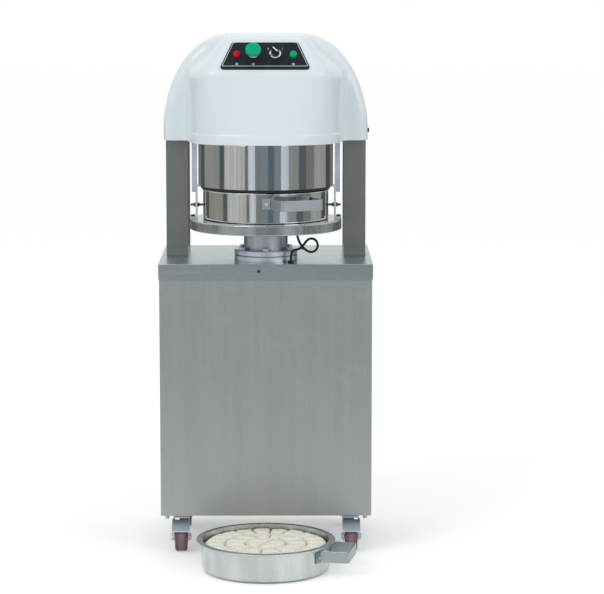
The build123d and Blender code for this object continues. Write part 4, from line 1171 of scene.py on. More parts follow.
@dataclass
class Studio:
    """The camera at the photograph's angle, the pale floor and the soft lights.

    Attributes:
        focal: The lens in millimetres.
        sensor: The width of the camera's sensor in millimetres.
        sight: How far the camera sees.
        eye: Where the camera stands.
        pitch: How far it looks down, in radians.
        yaw: How far it looks to the right, in radians.
        floor_side: The side of the square floor.
        floor_colour: The floor's own colour.
        floor_glow: The light that makes the floor white to the camera.
        near_floor: How far from the object the floor begins to brighten.
        far_floor: Where the floor is as white as the surroundings.
        near_white: How much of that white shows close to the object.
        ambient: How strongly the surroundings light the object.
        lamps: The soft lamps.
        surround_radius: The radius of the upright surround that polished metal reflects.
        surround_height: The height of that surround.
        surround_sides: How many sides the surround has.
        apron_radius: Where the paler apron begins on the floor.
        apron_foot: How far above the floor the apron begins.
        apron_rise: The height where the apron meets the surround.
        apron_paleness: How far the apron's panels fade to white.
        folds: How fine the lines on the panels are, per radian.
        fold_shade: How far those lines shade the panels.
        fold_colour: The colour of those lines.
        panels: The surround's panels: the heading in degrees where each begins, and its colour.
    """

    focal: float = 143.05
    sensor: float = 36.0
    sight: float = 100.0
    eye: Point = (0.042, -6.4211, 1.5367)
    pitch: float = 0.1360
    yaw: float = 0.0085
    floor_side: float = 60.0
    floor_colour: Colour = (0.92, 0.92, 0.92)
    floor_glow: Colour = (0.48, 0.48, 0.48)
    near_floor: float = 0.5
    far_floor: float = 2.0
    near_white: float = 0.75
    ambient: float = 0.5
    lamps: tuple[Softbox, ...] = (
        Softbox("key_light", (-2.6, -3.4, 3.6), (0.0, -0.1, 0.8), 2.4, 61.0),
        Softbox("fill_light", (3.2, -3.0, 2.4), (0.0, -0.1, 0.7), 2.0, 31.0),
        Softbox("top_light", (0.0, 0.4, 4.2), (0.0, 0.0, 0.8), 2.6, 16.0),
    )
    surround_radius: float = 4.4
    surround_height: float = 1.05
    surround_sides: int = 96
    apron_radius: float = 1.2
    apron_foot: float = 0.005
    apron_rise: float = 0.25
    apron_paleness: float = 0.5
    folds: float = 14.0
    fold_shade: float = 0.6
    fold_colour: Colour = (0.12, 0.13, 0.14)
    panels: tuple[tuple[float, Colour], ...] = (
        (-180, (0.06, 0.06, 0.06)),
        (-126, (0.36, 0.36, 0.31)),
        (-82, (0.06, 0.085, 0.08)),
        (-72, (0.68, 0.67, 0.64)),
        (-35, (0.22, 0.20, 0.19)),
        (-29, (0.90, 0.93, 0.96)),
        (-18, (0.26, 0.29, 0.30)),
        (3, (0.09, 0.14, 0.17)),
        (14, (0.25, 0.29, 0.31)),
        (25, (0.80, 0.86, 0.90)),
        (37, (0.30, 0.33, 0.31)),
        (55, (0.08, 0.09, 0.11)),
        (70, (0.22, 0.21, 0.20)),
        (88, (0.44, 0.46, 0.44)),
        (120, (0.05, 0.05, 0.05)),
    )

    def set_camera(self) -> None:
        """Makes the camera."""
        camera = bpy.data.cameras.new("camera")
        camera.lens = self.focal
        camera.sensor_width = self.sensor
        camera.clip_end = self.sight
        holder = bpy.data.objects.new("camera", camera)
        holder.location = self.eye
        holder.rotation_euler = (math.pi / 2 - self.pitch, 0.0, -self.yaw)
        bpy.context.scene.collection.objects.link(holder)
        bpy.context.scene.camera = holder

    @staticmethod
    def seen_ray(wiring: Wiring) -> bpy.types.NodeSocket:
        """Tells the rays that see a surface from those that only light it.

        Args:
            wiring: The material's or the world's wiring.

        Returns:
            1 for a ray of the camera, a reflection or a clear part, and 0 for diffuse light.
        """
        rays = wiring.add("ShaderNodeLightPath").outputs
        seen = wiring.math("MAXIMUM", rays["Is Camera Ray"], rays["Is Glossy Ray"])
        return wiring.math("MAXIMUM", seen, rays["Is Transmission Ray"])

    def set_world(self) -> None:
        """Makes a white surrounding that the camera and reflections see, dimmer as a light."""
        world = bpy.data.worlds.new("studio")
        world.use_nodes = True
        wiring = Wiring(world.node_tree)
        backdrop = world.node_tree.nodes["Background"]
        strength = wiring.spread(self.seen_ray(wiring), 0.0, 1.0, self.ambient, 1.0)
        connect(wiring, backdrop, Color=with_alpha(WHITE), Strength=strength)
        bpy.context.scene.world = world

    def set_floor(self) -> None:
        """Makes a wide pale floor, white to the camera but for the object's soft shadow."""
        floor = Bench.start("floor", bpy.ops.mesh.primitive_plane_add, size=self.floor_side)
        paint = bpy.data.materials.new("pale_floor")
        paint.use_nodes = True
        wiring = Wiring(paint.node_tree)
        shader = paint.node_tree.nodes["Principled BSDF"]
        reach = wiring.vector("LENGTH", object_place(wiring))
        far = wiring.spread(reach, self.near_floor, self.far_floor, self.near_white, 1.0)
        lit = wiring.math("MULTIPLY", far, self.seen_ray(wiring))
        connect(
            wiring,
            shader,
            Base_Color=with_alpha(self.floor_colour),
            Roughness=0.85,
            Emission_Color=wiring.mix(lit, BLACK, self.floor_glow),
            Emission_Strength=1.0,
        )
        floor.data.materials.append(paint)

    def panel_cloth(self, name: str, paleness: float) -> bpy.types.Material:
        """Makes the cloth of grey panels.

        Args:
            name: The material's name.
            paleness: How far the panels fade to white.

        Returns:
            The material.
        """
        cloth = bpy.data.materials.new(name)
        cloth.use_nodes = True
        wiring = Wiring(cloth.node_tree)
        parts = wiring.parts(object_place(wiring))
        heading = wiring.math("ARCTAN2", parts["X"], wiring.math("MULTIPLY", parts["Y"], -1.0))
        ramp = wiring.add("ShaderNodeValToRGB", {0: wiring.spread(heading, -math.pi, math.pi)})
        ramp.color_ramp.interpolation = "CONSTANT"
        stops = ramp.color_ramp.elements
        stops.remove(stops[-1])
        stops[0].color = with_alpha(self.panels[0][1])
        for start, colour in self.panels[1:]:
            stops.new((start + 180) / 360).color = with_alpha(colour)
        folds = wiring.noise(wiring.joined(X=wiring.math("MULTIPLY", heading, self.folds)), 1.0, 5.0)
        share = wiring.math("MULTIPLY", wiring.spread(folds, 0.25, 0.75), self.fold_shade)
        shaded = wiring.mix(share, ramp.outputs["Color"], self.fold_colour)
        connect(
            wiring,
            cloth.node_tree.nodes["Principled BSDF"],
            Base_Color=with_alpha(BLACK),
            Roughness=1.0,
            Emission_Color=wiring.mix(paleness, shaded, WHITE),
            Emission_Strength=1.0,
        )
        return cloth

    def add_surround(self) -> None:
        """Adds the upright panels, and the paler apron before them, that only reflections see."""
        sheets = (
            ("surround", self.surround_radius, self.apron_rise, self.surround_height, 0.0),
            ("surround_apron", self.apron_radius, self.apron_foot, self.apron_rise, self.apron_paleness),
        )
        for name, low_radius, low, high, paleness in sheets:
            sheet = Bench.start(
                name,
                bpy.ops.mesh.primitive_cone_add,
                vertices=self.surround_sides,
                radius1=low_radius,
                radius2=self.surround_radius,
                depth=high - low,
                end_fill_type="NOTHING",
                location=(0.0, 0.0, (low + high) / 2),
            )
            bpy.ops.object.transform_apply(location=True)
            sheet.data.materials.append(self.panel_cloth(name, paleness))
            sheet.visible_camera = False
            sheet.visible_diffuse = False
            sheet.visible_shadow = False

    def build(self) -> None:
        """Sets up the whole studio."""
        self.set_camera()
        self.set_world()
        self.set_floor()
        for lamp in self.lamps:
            lamp.hang()
        self.add_surround()


@dataclass
class Cabinet:
    """The steel cabinet with its table, base frame and screws.

    Attributes:
        lip_screw: The lip screw's X, and how far it lies below the table.
        screw_radius: The radius of the screws' heads.
        back_inset: How far the back panel's screws lie from its edges.
        bolt_inset: How far the bolts under the base lie from its sides and its front and back.
        bolt_radius: The radius of those bolts' heads.
        bolt_height: The height of those bolts' heads.
        round_sides: How many sides a round head or washer has.
    """

    lip_screw: tuple[float, float] = (-0.018, 0.0185)
    screw_radius: float = 0.0042
    back_inset: float = 0.012
    bolt_inset: tuple[float, float] = (0.016, 0.018)
    bolt_radius: float = 0.0068
    bolt_height: float = 0.010
    round_sides: int = 24

    def model_bolt(self) -> bpy.types.Object:
        """Models one hexagon bolt head on its washer, seated at the origin and facing +Z.

        Returns:
            The bolt, which the others are copied from.
        """
        radius, height = self.bolt_radius, self.bolt_height
        chamfer = 0.12 * radius
        bolt = Bench.start(
            "base_bolt_1",
            bpy.ops.mesh.primitive_cylinder_add,
            vertices=self.round_sides,
            radius=1.35 * radius,
            depth=0.25 * height,
        )
        bpy.ops.object.mode_set(mode="EDIT")
        bpy.ops.mesh.primitive_cylinder_add(
            vertices=6, radius=radius, depth=height, location=(0.0, 0.0, height / 2)
        )
        bpy.ops.object.mode_set(mode="OBJECT")
        Bench.pick_faces(bolt, lambda face: face.center.z > 0.9 * height)
        bpy.ops.mesh.inset(thickness=chamfer)
        bpy.ops.transform.translate(value=(0.0, 0.0, chamfer))
        bpy.ops.object.mode_set(mode="OBJECT")
        return bolt

    def add_bolts(self) -> None:
        """Adds the four bolts under the corners of the base frame."""
        low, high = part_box("cabinet_shell")
        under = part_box("base_frame")[0].z
        first = self.model_bolt()
        bolts = [first] + [Bench.copy(first, f"base_bolt_{number}") for number in (2, 3, 4)]
        across = (low.x + self.bolt_inset[0], high.x - self.bolt_inset[0])
        deep = (low.y + self.bolt_inset[1], high.y - self.bolt_inset[1])
        seats = [(x, y, under) for x in across for y in deep]
        for bolt, seat in zip(bolts, seats):
            place = Matrix.Translation(seat) @ Matrix.Rotation(math.pi, 4, "X")
            fit(Bench.settle(bolt, place), ZINC, "frame", "zinc_steel")

    def model_screw(self) -> bpy.types.Object:
        """Models one pan-head screw with a driving slot, seated at the origin and facing +Z.

        Returns:
            The screw, which the others are copied from.
        """
        radius = self.screw_radius
        top = 0.6 * radius
        slot_width = 0.18
        slot_depth = 0.3 * radius
        screw = Bench.start(
            "lip_screw",
            bpy.ops.mesh.primitive_cylinder_add,
            vertices=self.round_sides,
            radius=radius,
            depth=top,
            location=(0.0, 0.0, top / 2),
        )
        bpy.ops.object.transform_apply(location=True)
        Bench.pick_faces(screw, lambda face: face.normal.z > 0.9)
        bpy.ops.mesh.bevel(offset=0.25 * radius, segments=3)
        Bench.pick_faces(screw, lambda face: face.normal.z > 0.99)
        bpy.ops.mesh.inset(thickness=0.15 * radius)
        bpy.ops.transform.resize(value=(1.0, slot_width, 1.0), center_override=(0.0, 0.0, top))
        Bench.extrude((0.0, 0.0, -slot_depth))
        bpy.ops.object.mode_set(mode="OBJECT")
        return screw

    def add_screws(self) -> None:
        """Adds the screw on the table's front lip and those round the back panel."""
        low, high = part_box("table_lid")
        panel_low, panel_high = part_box("cabinet_back_panel")
        under_lip = low.z - self.back_inset
        across = (panel_low.x + self.back_inset, 0.0, panel_high.x - self.back_inset)
        upright = (panel_low.z + self.back_inset, (panel_low.z + under_lip) / 2, under_lip)
        front = Matrix.Rotation(math.pi / 2, 4, "X")
        back = Matrix.Rotation(-math.pi / 2, 4, "X")
        seats = [Matrix.Translation((self.lip_screw[0], low.y, high.z - self.lip_screw[1])) @ front]
        for x in across:
            for z in upright:
                seats.append(Matrix.Translation((x, panel_high.y, z)) @ back)
        first = self.model_screw()
        screws = [first] + [Bench.copy(first, f"back_screw_{number}") for number in range(1, len(seats))]
        for screw, seat in zip(screws, seats):
            finish = BLACK_OXIDE if screw is first else ZINC
            fit(Bench.settle(screw, seat), finish, "frame", "zinc_steel")

    def build(self) -> None:
        """Dresses the cabinet and adds its screws."""
        dress(CABINET_STEEL, "cabinet_shell", "cabinet_back_panel")
        dress(TABLE_STEEL, "table_lid")
        dress(GREY_ENAMEL, "base_frame")
        self.add_screws()
        self.add_bolts()


@dataclass
class HeadFrame:
    """The posts, the head plate with its bridge, and the guide bars."""

    def build(self) -> None:
        """Dresses the head frame."""
        dress(POST_STEEL, "left_post", "right_post")
        dress(GREY_ENAMEL, "head_frame", "head_bridge")
        dress(BAR_STEEL, "guide_bars")


@dataclass
class HeadCover:
    """The white cover, with softened bends in place of the solid's sharp ones.

    Attributes:
        voxel: The step of the softened skin.
        rounds: How many times the skin is smoothed.
        wall: The skin's thickness.
        hole_reach: How far from a control's axis the hole walls reach.
        edge_reach: How far above the lower edge a rim edge may lie.
        skirt_run: How far the skin is drawn down before it is trimmed to its lower edge.
        lugs: The X of each clip lug under the front edge.
        lug_size: A lug's width, thickness and height.
        lug_show: How far a lug shows below the edge.
        knob_place: The fixing knob's Y, and its height above the lower edge.
        knob_radius: The fixing knob's radius.
        knob_depth: How far the fixing knob stands out.
        rim_height: The height of the thickened rim along the front's lower edge.
        rim_rise: How far that rim stands out.
    """

    voxel: float = 0.005
    rounds: int = 18
    wall: float = 0.003
    hole_reach: float = 0.013
    edge_reach: float = 0.001
    skirt_run: float = 0.03
    lugs: tuple[float, ...] = (-0.056, 0.048)
    lug_size: Point = (0.012, 0.004, 0.014)
    lug_show: float = 0.003
    knob_place: tuple[float, float] = (-0.06, 0.023)
    knob_radius: float = 0.006
    knob_depth: float = 0.005
    rim_height: float = 0.024
    rim_rise: float = 0.0012

    def hole_walls(self) -> Callable[[bpy.types.MeshPolygon], bool]:
        """Finds the walls of the controls' holes.

        Returns:
            A test that says whether a face lines one of the holes.
        """
        outward = facet_outward()
        controls = ("red_lamp", "start_collar", "selector_bezel", "green_lamp")
        places = [facet_place(middle(node).x) for node in controls]

        def lines_hole(face: bpy.types.MeshPolygon) -> bool:
            """Tests whether a face stands close round one control's axis.

            Args:
                face: A face of the cover.

            Returns:
                Whether it lines a hole.
            """
            for place in places:
                away = face.center - place
                along = away.dot(outward)
                if abs(along) < 2 * self.wall and (away - outward * along).length < self.hole_reach:
                    return abs(face.normal.dot(outward)) < 0.3
            return False

        return lines_hole

    def outer_shell(self, name: str, bottom: float) -> bpy.types.Object:
        """Copies the solid's outer skin, without its lower edge and its hole walls.

        Args:
            name: The copy's name.
            bottom: The height of the cover's lower edge.

        Returns:
            The outer skin, open below and at the holes.
        """
        skin = Bench.copy_of("head_cover", name)
        Bench.pick_faces(skin, lambda face: face.normal.z < -0.9 and face.center.z < bottom + MERGE)
        bpy.ops.mesh.delete(type="FACE")
        Bench.pick_faces(skin, self.hole_walls())
        bpy.ops.mesh.delete(type="FACE")
        bpy.ops.mesh.select_all(action="SELECT")
        bpy.ops.mesh.separate(type="LOOSE")
        bpy.ops.object.mode_set(mode="OBJECT")
        *inner, outer = sorted(bpy.context.selected_objects, key=lambda shell: shell.dimensions.x)
        for shell in inner:
            bpy.data.objects.remove(shell)
        outer.name = name
        Bench.take(outer)
        return outer

    def build_skin(self) -> bpy.types.Object:
        """Models the softened cover from the solid's outer skin.

        Returns:
            The cover.
        """
        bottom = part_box("head_cover")[0].z
        skin = self.outer_shell("head_cover_skin", bottom)
        bpy.ops.object.mode_set(mode="EDIT")
        Bench.pick_rim()
        bpy.ops.object.mode_set(mode="OBJECT")
        for edge in skin.data.edges:
            heights = [skin.data.vertices[corner].co.z for corner in edge.vertices]
            edge.select = edge.select and max(heights) < bottom + self.edge_reach
        bpy.ops.object.mode_set(mode="EDIT")
        Bench.extrude_rim((0.0, 0.0, -self.skirt_run))
        bpy.ops.mesh.select_all(action="SELECT")
        bpy.ops.mesh.fill_holes(sides=0)
        Bench.turn_outwards()
        Bench.modify(skin, "REMESH", mode="VOXEL", voxel_size=self.voxel)
        Bench.modify(skin, "SMOOTH", factor=0.5, iterations=self.rounds)
        bpy.ops.object.mode_set(mode="EDIT")
        bpy.ops.mesh.select_all(action="SELECT")
        bpy.ops.mesh.bisect(plane_co=(0, 0, bottom), plane_no=(0, 0, 1), clear_inner=True)
        self.raise_rim(skin, bottom)
        Bench.modify(skin, "SOLIDIFY", thickness=self.wall, offset=-1.0)
        return Bench.settle(skin, angle=50.0)

    def raise_rim(self, skin: bpy.types.Object, bottom: float) -> None:
        """Raises the rim along the lower edge of the cover's front bulge.

        Args:
            skin: The cover's outer skin, open below.
            bottom: The height of its lower edge.
        """
        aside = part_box("platform")[1].x
        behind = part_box("left_post")[0].y
        for height in (self.rim_height, self.rim_height + 2 * self.rim_rise):
            bpy.ops.mesh.select_all(action="SELECT")
            bpy.ops.mesh.bisect(plane_co=(0, 0, bottom + height), plane_no=(0, 0, 1))
        top = bottom + self.rim_height + MERGE
        Bench.pick_faces(
            skin, lambda face: face.center.z < top and face.center.y < behind and abs(face.center.x) < aside
        )
        bpy.ops.transform.shrink_fatten(value=self.rim_rise)
        bpy.ops.object.mode_set(mode="OBJECT")

    def add_lugs(self, skin: bpy.types.Object) -> None:
        """Adds the clip lugs inside the cover's front edge.

        Args:
            skin: The finished cover.
        """
        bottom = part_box("head_cover")[0].z
        width, thickness, height = self.lug_size
        for number, x in enumerate(self.lugs, 1):
            points = [vertex.co for vertex in skin.data.vertices if vertex.co.z < bottom + height]
            front = min(point.y for point in points if abs(point.x - x) < width)
            seat = (x, front + self.wall + thickness / 2, bottom - self.lug_show + height / 2)
            lug = Bench.start(f"cover_lug_{number}", bpy.ops.mesh.primitive_cube_add, size=1.0)
            lug.scale = self.lug_size
            bpy.ops.object.transform_apply(scale=True)
            Bench.modify(lug, "BEVEL", width=0.3 * thickness, segments=3)
            fit(Bench.settle(lug, Matrix.Translation(seat)), WHITE_SHELL, "frame", "white_shell")

    def add_knob(self) -> None:
        """Adds the dark fixing knob on the cover's right side, with finger dips round its rim."""
        low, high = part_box("head_cover")
        y, rise = self.knob_place
        radius = self.knob_radius
        dip = 0.9
        knob = Bench.start(
            "cover_knob",
            bpy.ops.mesh.primitive_cylinder_add,
            vertices=36,
            radius=radius,
            depth=self.knob_depth,
        )
        rim = [face.index for face in knob.data.polygons if abs(face.normal.z) < 0.1][::3]
        Bench.pick_faces(knob, lambda face: face.index in rim)
        bpy.ops.transform.resize(value=(dip, dip, 1.0), center_override=(0.0, 0.0, 0.0))
        Bench.pick_faces(knob, lambda face: face.normal.z > 0.9)
        bpy.ops.mesh.inset(thickness=0.25 * radius)
        bpy.ops.transform.translate(value=(0.0, 0.0, -0.15 * radius))
        bpy.ops.object.mode_set(mode="OBJECT")
        seat = Matrix.Translation((high.x + self.knob_depth / 2, y, low.z + rise))
        Bench.settle(knob, seat @ Matrix.Rotation(math.pi / 2, 4, "Y"))
        fit(knob, BLACK_PLASTIC, "frame", "black_plastic")

    def build(self) -> None:
        """Models and fits the cover and its small fittings."""
        skin = fit(self.build_skin(), WHITE_SHELL, "frame", "white_shell", "head_cover")
        self.add_lugs(skin)
        self.add_knob()


@dataclass
class ControlPanel:
    """The dark panel on the cover's facet, with its controls and printed marks.

    Attributes:
        bottom_width: The panel's width at its lower edge.
        top_width: The panel's width at its upper edge.
        slope_height: The panel's height along the slope.
        drop: How far the controls lie below the panel's middle.
        thickness: The panel's thickness.
        corner: How far from each corner the panel's rounding begins.
        border_inset: How far the printed border lies inside the panel's edge.
        border_width: The border's width.
        print_height: How far the print stands up.
        mark_drop: How far the marks lie below their controls.
        mark_size: The size of a mark.
        figure_aside: How far the selector's figures lie beside its axis.
        figure_up: How far those figures lie above the panel's middle.
        facet: The panel's plane: X to the right, Y uphill and Z outward, from the panel's middle.
    """

    bottom_width: float = 0.234
    top_width: float = 0.169
    slope_height: float = 0.083
    drop: float = 0.004
    thickness: float = 0.002
    corner: float = 0.009
    border_inset: float = 0.0045
    border_width: float = 0.0012
    print_height: float = 0.00015
    mark_drop: float = 0.0265
    mark_size: float = 0.0035
    figure_aside: float = 0.018
    figure_up: float = 0.016
    facet: Matrix = field(init=False)

    def __post_init__(self) -> None:
        """Finds the panel's plane from the selector's joint."""
        outward = facet_outward()
        right = Vector((1.0, 0.0, 0.0))
        uphill = outward.cross(right)
        base = facet_place(0.0) + uphill * self.drop
        axes = Matrix((right, uphill, outward)).transposed().to_4x4()
        self.facet = Matrix.Translation(base) @ axes

    def print_on(self, mark: bpy.types.Object, across: float = 0.0, up: float = 0.0) -> None:
        """Sets a mark on the panel's face.

        Args:
            mark: The mark, modelled flat at the origin.
            across: Its place to the right of the panel's middle.
            up: Its place above the panel's middle.
        """
        Bench.settle(mark, self.facet @ Matrix.Translation((across, up, self.thickness)))
        fit(mark, PRINT_WHITE, "frame", "pointer_white")

    def add_border(self) -> None:
        """Adds the thin pale border printed inside the panel's edge."""
        border = Bench.start("panel_border", bpy.ops.mesh.primitive_plane_add, size=1.0)
        for corner in border.data.vertices:
            width = self.top_width if corner.co.y > 0 else self.bottom_width
            side = math.copysign(width / 2, corner.co.x)
            corner.co = (side, math.copysign(self.slope_height / 2, corner.co.y), 0.0)
        bpy.ops.object.mode_set(mode="EDIT")
        bpy.ops.mesh.select_all(action="SELECT")
        bpy.ops.mesh.bevel(offset=self.corner, segments=6, affect="VERTICES")
        bpy.ops.mesh.select_all(action="SELECT")
        bpy.ops.mesh.inset(thickness=self.border_inset)
        bpy.ops.mesh.select_all(action="INVERT")
        bpy.ops.mesh.delete(type="FACE")
        bpy.ops.mesh.select_all(action="SELECT")
        bpy.ops.mesh.inset(thickness=self.border_width)
        bpy.ops.mesh.delete(type="FACE")
        bpy.ops.mesh.select_all(action="SELECT")
        Bench.extrude((0.0, 0.0, self.print_height))
        bpy.ops.object.mode_set(mode="OBJECT")
        self.print_on(border)

    def add_ring_mark(self, name: str, across: float, up: float, crossed: bool) -> None:
        """Adds a round mark: a ring with a bar, or with a cross for a lamp.

        Args:
            name: The mark's name.
            across: Its place to the right of the panel's middle.
            up: Its place above the panel's middle.
            crossed: Whether it holds a cross.
        """
        size = self.mark_size
        stroke = 0.22 * size
        ring = Bench.start(
            name, bpy.ops.mesh.primitive_circle_add, vertices=32, radius=size, fill_type="NGON"
        )
        bpy.ops.object.mode_set(mode="EDIT")
        bpy.ops.mesh.select_all(action="SELECT")
        bpy.ops.mesh.inset(thickness=stroke)
        bpy.ops.mesh.delete(type="FACE")
        turns = (45, 135) if crossed else (90,)
        reach = size - stroke if crossed else 0.55 * size
        for turn in turns:
            bpy.ops.mesh.select_all(action="DESELECT")
            bpy.ops.mesh.primitive_plane_add(size=2.0)
            bpy.ops.transform.resize(value=(reach, stroke / 2, 1.0))
            bpy.ops.transform.rotate(value=math.radians(turn), orient_axis="Z", center_override=(0, 0, 0))
        bpy.ops.mesh.select_all(action="SELECT")
        Bench.extrude((0.0, 0.0, self.print_height))
        bpy.ops.object.mode_set(mode="OBJECT")
        self.print_on(ring, across, up)

    def add_figure(self, name: str, words: str, across: float, up: float) -> None:
        """Adds a printed figure.

        Args:
            name: The figure's name.
            words: What is printed.
            across: Its place to the right of the panel's middle.
            up: Its place above the panel's middle.
        """
        figure = Bench.start(name, bpy.ops.object.text_add)
        figure.data.body = words
        figure.data.size = 2.2 * self.mark_size
        figure.data.align_x = "CENTER"
        figure.data.align_y = "CENTER"
        figure.data.extrude = self.print_height
        bpy.ops.object.convert(target="MESH")
        figure = bpy.context.object
        figure.name = name
        self.print_on(figure, across, up)

    def build(self) -> None:
        """Dresses the controls and adds the print."""
        dress(PANEL_DARK, "control_panel")
        dress(CHROME, "start_collar", "selector_bezel")
        dress(GREEN_PLASTIC, "start_button")
        dress(BLACK_PLASTIC, "power_knob")
        dress(WHITE_PLASTIC, "knob_pointer")
        for node, colour in (("red_lamp", tone(235, 6, 34)), ("green_lamp", tone(0, 210, 128))):
            dress(Lens(f"{node}_lens", colour, 0.16, centre=tuple(middle(node))), node)
        self.add_border()
        low_row = -self.drop - self.mark_drop
        for node, crossed in (("red_lamp", True), ("start_collar", False), ("green_lamp", True)):
            self.add_ring_mark(f"{node}_mark", middle(node).x, low_row, crossed)
        knob = middle("selector_bezel").x
        self.add_figure("mark_off", "0", knob - self.figure_aside, self.figure_up)
        self.add_figure("mark_on", "I", knob + self.figure_aside, self.figure_up)


@dataclass
class LiftUnit:
    """The lift cylinder, ram, platform, brackets and skirt."""

    def build(self) -> None:
        """Dresses the lift unit."""
        dress(TURNED_STEEL, "lift_cylinder", "gland_flange")
        dress(PLATFORM_STEEL, "platform")
        dress(RAM_STEEL, "ram")
        dress(ZINC, "gland_bolts")
        dress(BLACK_OXIDE, "bracket_bolts")
        dress(BRACKET_STEEL, "pan_brackets")
        dress(SCREW_THREAD, "adjusting_screws")
        dress(SKIRT_STEEL, "skirt")
        dress(BLACK_RUBBER, "skirt_seal")


@dataclass
class PressUnit:
    """The knife grid and the press inside the head."""

    def build(self) -> None:
        """Dresses the press unit."""
        dress(KNIFE_STEEL, "knife_grid")
        dress(TURNED_STEEL, "knife_hangers", "press_carrier", "press_cylinder")
        dress(WHITE_PLASTIC, "press_pads")


@dataclass
class Pans:
    """The pan in the machine and the spare pan with its dough.

    Attributes:
        sectors: How many shares each ring of dough is cut into, from the middle out.
        cut_half: Half the width of a cut.
        crease_reach: How far from a cut the dough is shaded.
        cut_depth: How deep the cuts show.
        crown: How far a share swells above its edges.
        crown_reach: How far from a cut a share reaches its full height.
        uneven: How far the shares differ in height.
        ripple: How far a share's top ripples.
        ripple_scale: How fine the ripples are, per metre.
        wall: The stages of the dough's wall, from the top: a share of its height, and how far it draws in.
        grid: How many steps the dough's surface has along each side.
    """

    sectors: tuple[int, ...] = (4, 12, 20)
    cut_half: float = 0.0026
    crease_reach: float = 0.008
    cut_depth: float = 0.006
    crown: float = 0.007
    crown_reach: float = 0.013
    uneven: float = 0.002
    ripple: float = 0.0012
    ripple_scale: float = 60.0
    wall: tuple[tuple[float, float], ...] = ((0.15, 1.0), (0.57, 1.0), (0.26, 0.93))
    grid: int = 230

    def cut_distance(self, x: float, y: float, radius: float) -> tuple[float, int]:
        """Finds how far a point on the dough is from the nearest cut, and which share holds it.

        Args:
            x: The point's X from the pan's axis.
            y: The point's Y from the pan's axis.
            radius: The dough's radius.

        Returns:
            The distance and the share's number.
        """
        reach = math.hypot(x, y)
        step = radius / len(self.sectors)
        ring = min(int(reach / step), len(self.sectors) - 1)
        count = self.sectors[ring]
        share = math.tau / count
        turn = (math.atan2(y, x) - math.pi / 2 / count + share / 2) % math.tau
        number = int(turn / share)
        off = min(turn % share, share - turn % share)
        inward = reach - ring * step if ring else radius
        nearest = min(inward, (ring + 1) * step - reach, reach * math.sin(off))
        return max(nearest, 0.0), ring * 100 + number

    def height_at(self, x: float, y: float, radius: float) -> float:
        """Works out the dough's height at a point, above the level where its shares begin to swell.

        Args:
            x: The point's X from the pan's axis.
            y: The point's Y from the pan's axis.
            radius: The dough's radius.

        Returns:
            The height.
        """
        away, share = self.cut_distance(x, y, radius)
        swell = 1.0 - (1.0 - min(away / self.crown_reach, 1.0)) ** 2
        slot = max(0.0, 1.0 - away / self.cut_half) ** 0.5
        uneven = noise.noise(Vector((share * 1.7, 0.3, 0.0))) * self.uneven
        fine = self.ripple_scale
        ripple = noise.noise(Vector((x * fine, y * fine, share * 0.9))) * self.ripple
        return self.crown * swell + uneven + ripple - self.cut_depth * slot

    def build_dough(self, cut: str) -> bpy.types.Object:
        """Models the cut dough as one soft mass with swollen shares.

        Args:
            cut: The attribute that keeps how deep in a cut each point lies.

        Returns:
            The dough.
        """
        low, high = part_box("dough_portions")
        centre = (low + high) / 2
        radius = (high.x - low.x) / 2
        dough = Bench.start(
            "dough_mass",
            bpy.ops.mesh.primitive_grid_add,
            x_subdivisions=self.grid,
            y_subdivisions=self.grid,
            size=2.0,
        )
        top = high.z - self.crown
        creases = dough.data.attributes.new(cut, "FLOAT", "POINT")
        for point, crease in zip(dough.data.vertices, creases.data):
            x = point.co.x * math.sqrt(1 - point.co.y**2 / 2) * radius
            y = point.co.y * math.sqrt(1 - point.co.x**2 / 2) * radius
            point.co = (centre.x + x, centre.y + y, top + self.height_at(x, y, radius))
            away = self.cut_distance(x, y, radius)[0]
            crease.value = max(0.0, 1.0 - away / self.crease_reach) ** 2
        bpy.ops.object.mode_set(mode="EDIT")
        Bench.pick_rim()
        depth = top - low.z - self.cut_depth
        for share, spread in self.wall:
            Bench.extrude_rim((0.0, 0.0, -share * depth))
            bpy.ops.transform.resize(value=(spread, spread, 1.0), center_override=tuple(centre))
        bpy.ops.mesh.edge_face_add()
        Bench.turn_outwards()
        bpy.ops.object.mode_set(mode="OBJECT")
        return Bench.settle(dough, angle=60.0)

    def build(self) -> None:
        """Dresses both pans and models the dough."""
        dress(PAN_STEEL, "dough_pan")
        dress(SPARE_STEEL, "spare_pan")
        dress(HANDLE_STEEL, "pan_handle")
        dress(SPARE_HANDLE, "spare_pan_handle")
        dress(ZINC, "pan_rivets", "spare_pan_rivets")
        skin = DoughSkin("dough_skin", tone(255, 252, 238), 0.55)
        fit(self.build_dough(skin.cut), skin, "spare_pan", "dough", "dough_portions")


@dataclass
class Casters:
    """The four casters with their plates, forks, wheels and brake pedals."""

    def build(self) -> None:
        """Dresses the casters."""
        dress(ZINC, "caster_plates")
        for side in ("front_left", "front_right", "back_left", "back_right"):
            x, *axle = joint_named(f"wheel_spin_{side}")["pos_m"]
            tread = Tread(f"wheel_tread_{side}", tone(118, 78, 84), 0.5, axle=tuple(axle), centre_x=x)
            dress(tread, f"caster_wheel_{side}")
            dress(ZINC, f"caster_fork_{side}")
        for side in ("front_left", "front_right"):
            dress(PASSIVATED, f"brake_pedal_{side}")


@dataclass
class PowerPack:
    """The hydraulic pack and electrics inside the cabinet."""

    def build(self) -> None:
        """Dresses the power pack."""
        dress(GREY_ENAMEL, "oil_tank", "control_box")
        dress(BLUE_ENAMEL, "pump_motor")
        dress(ALLOY, "hydraulic_pump", "valve_block")
        dress(BLACK_RUBBER, "hydraulic_hose", "cable_grommet")
        dress(BLACK_PLASTIC, "mains_gland")


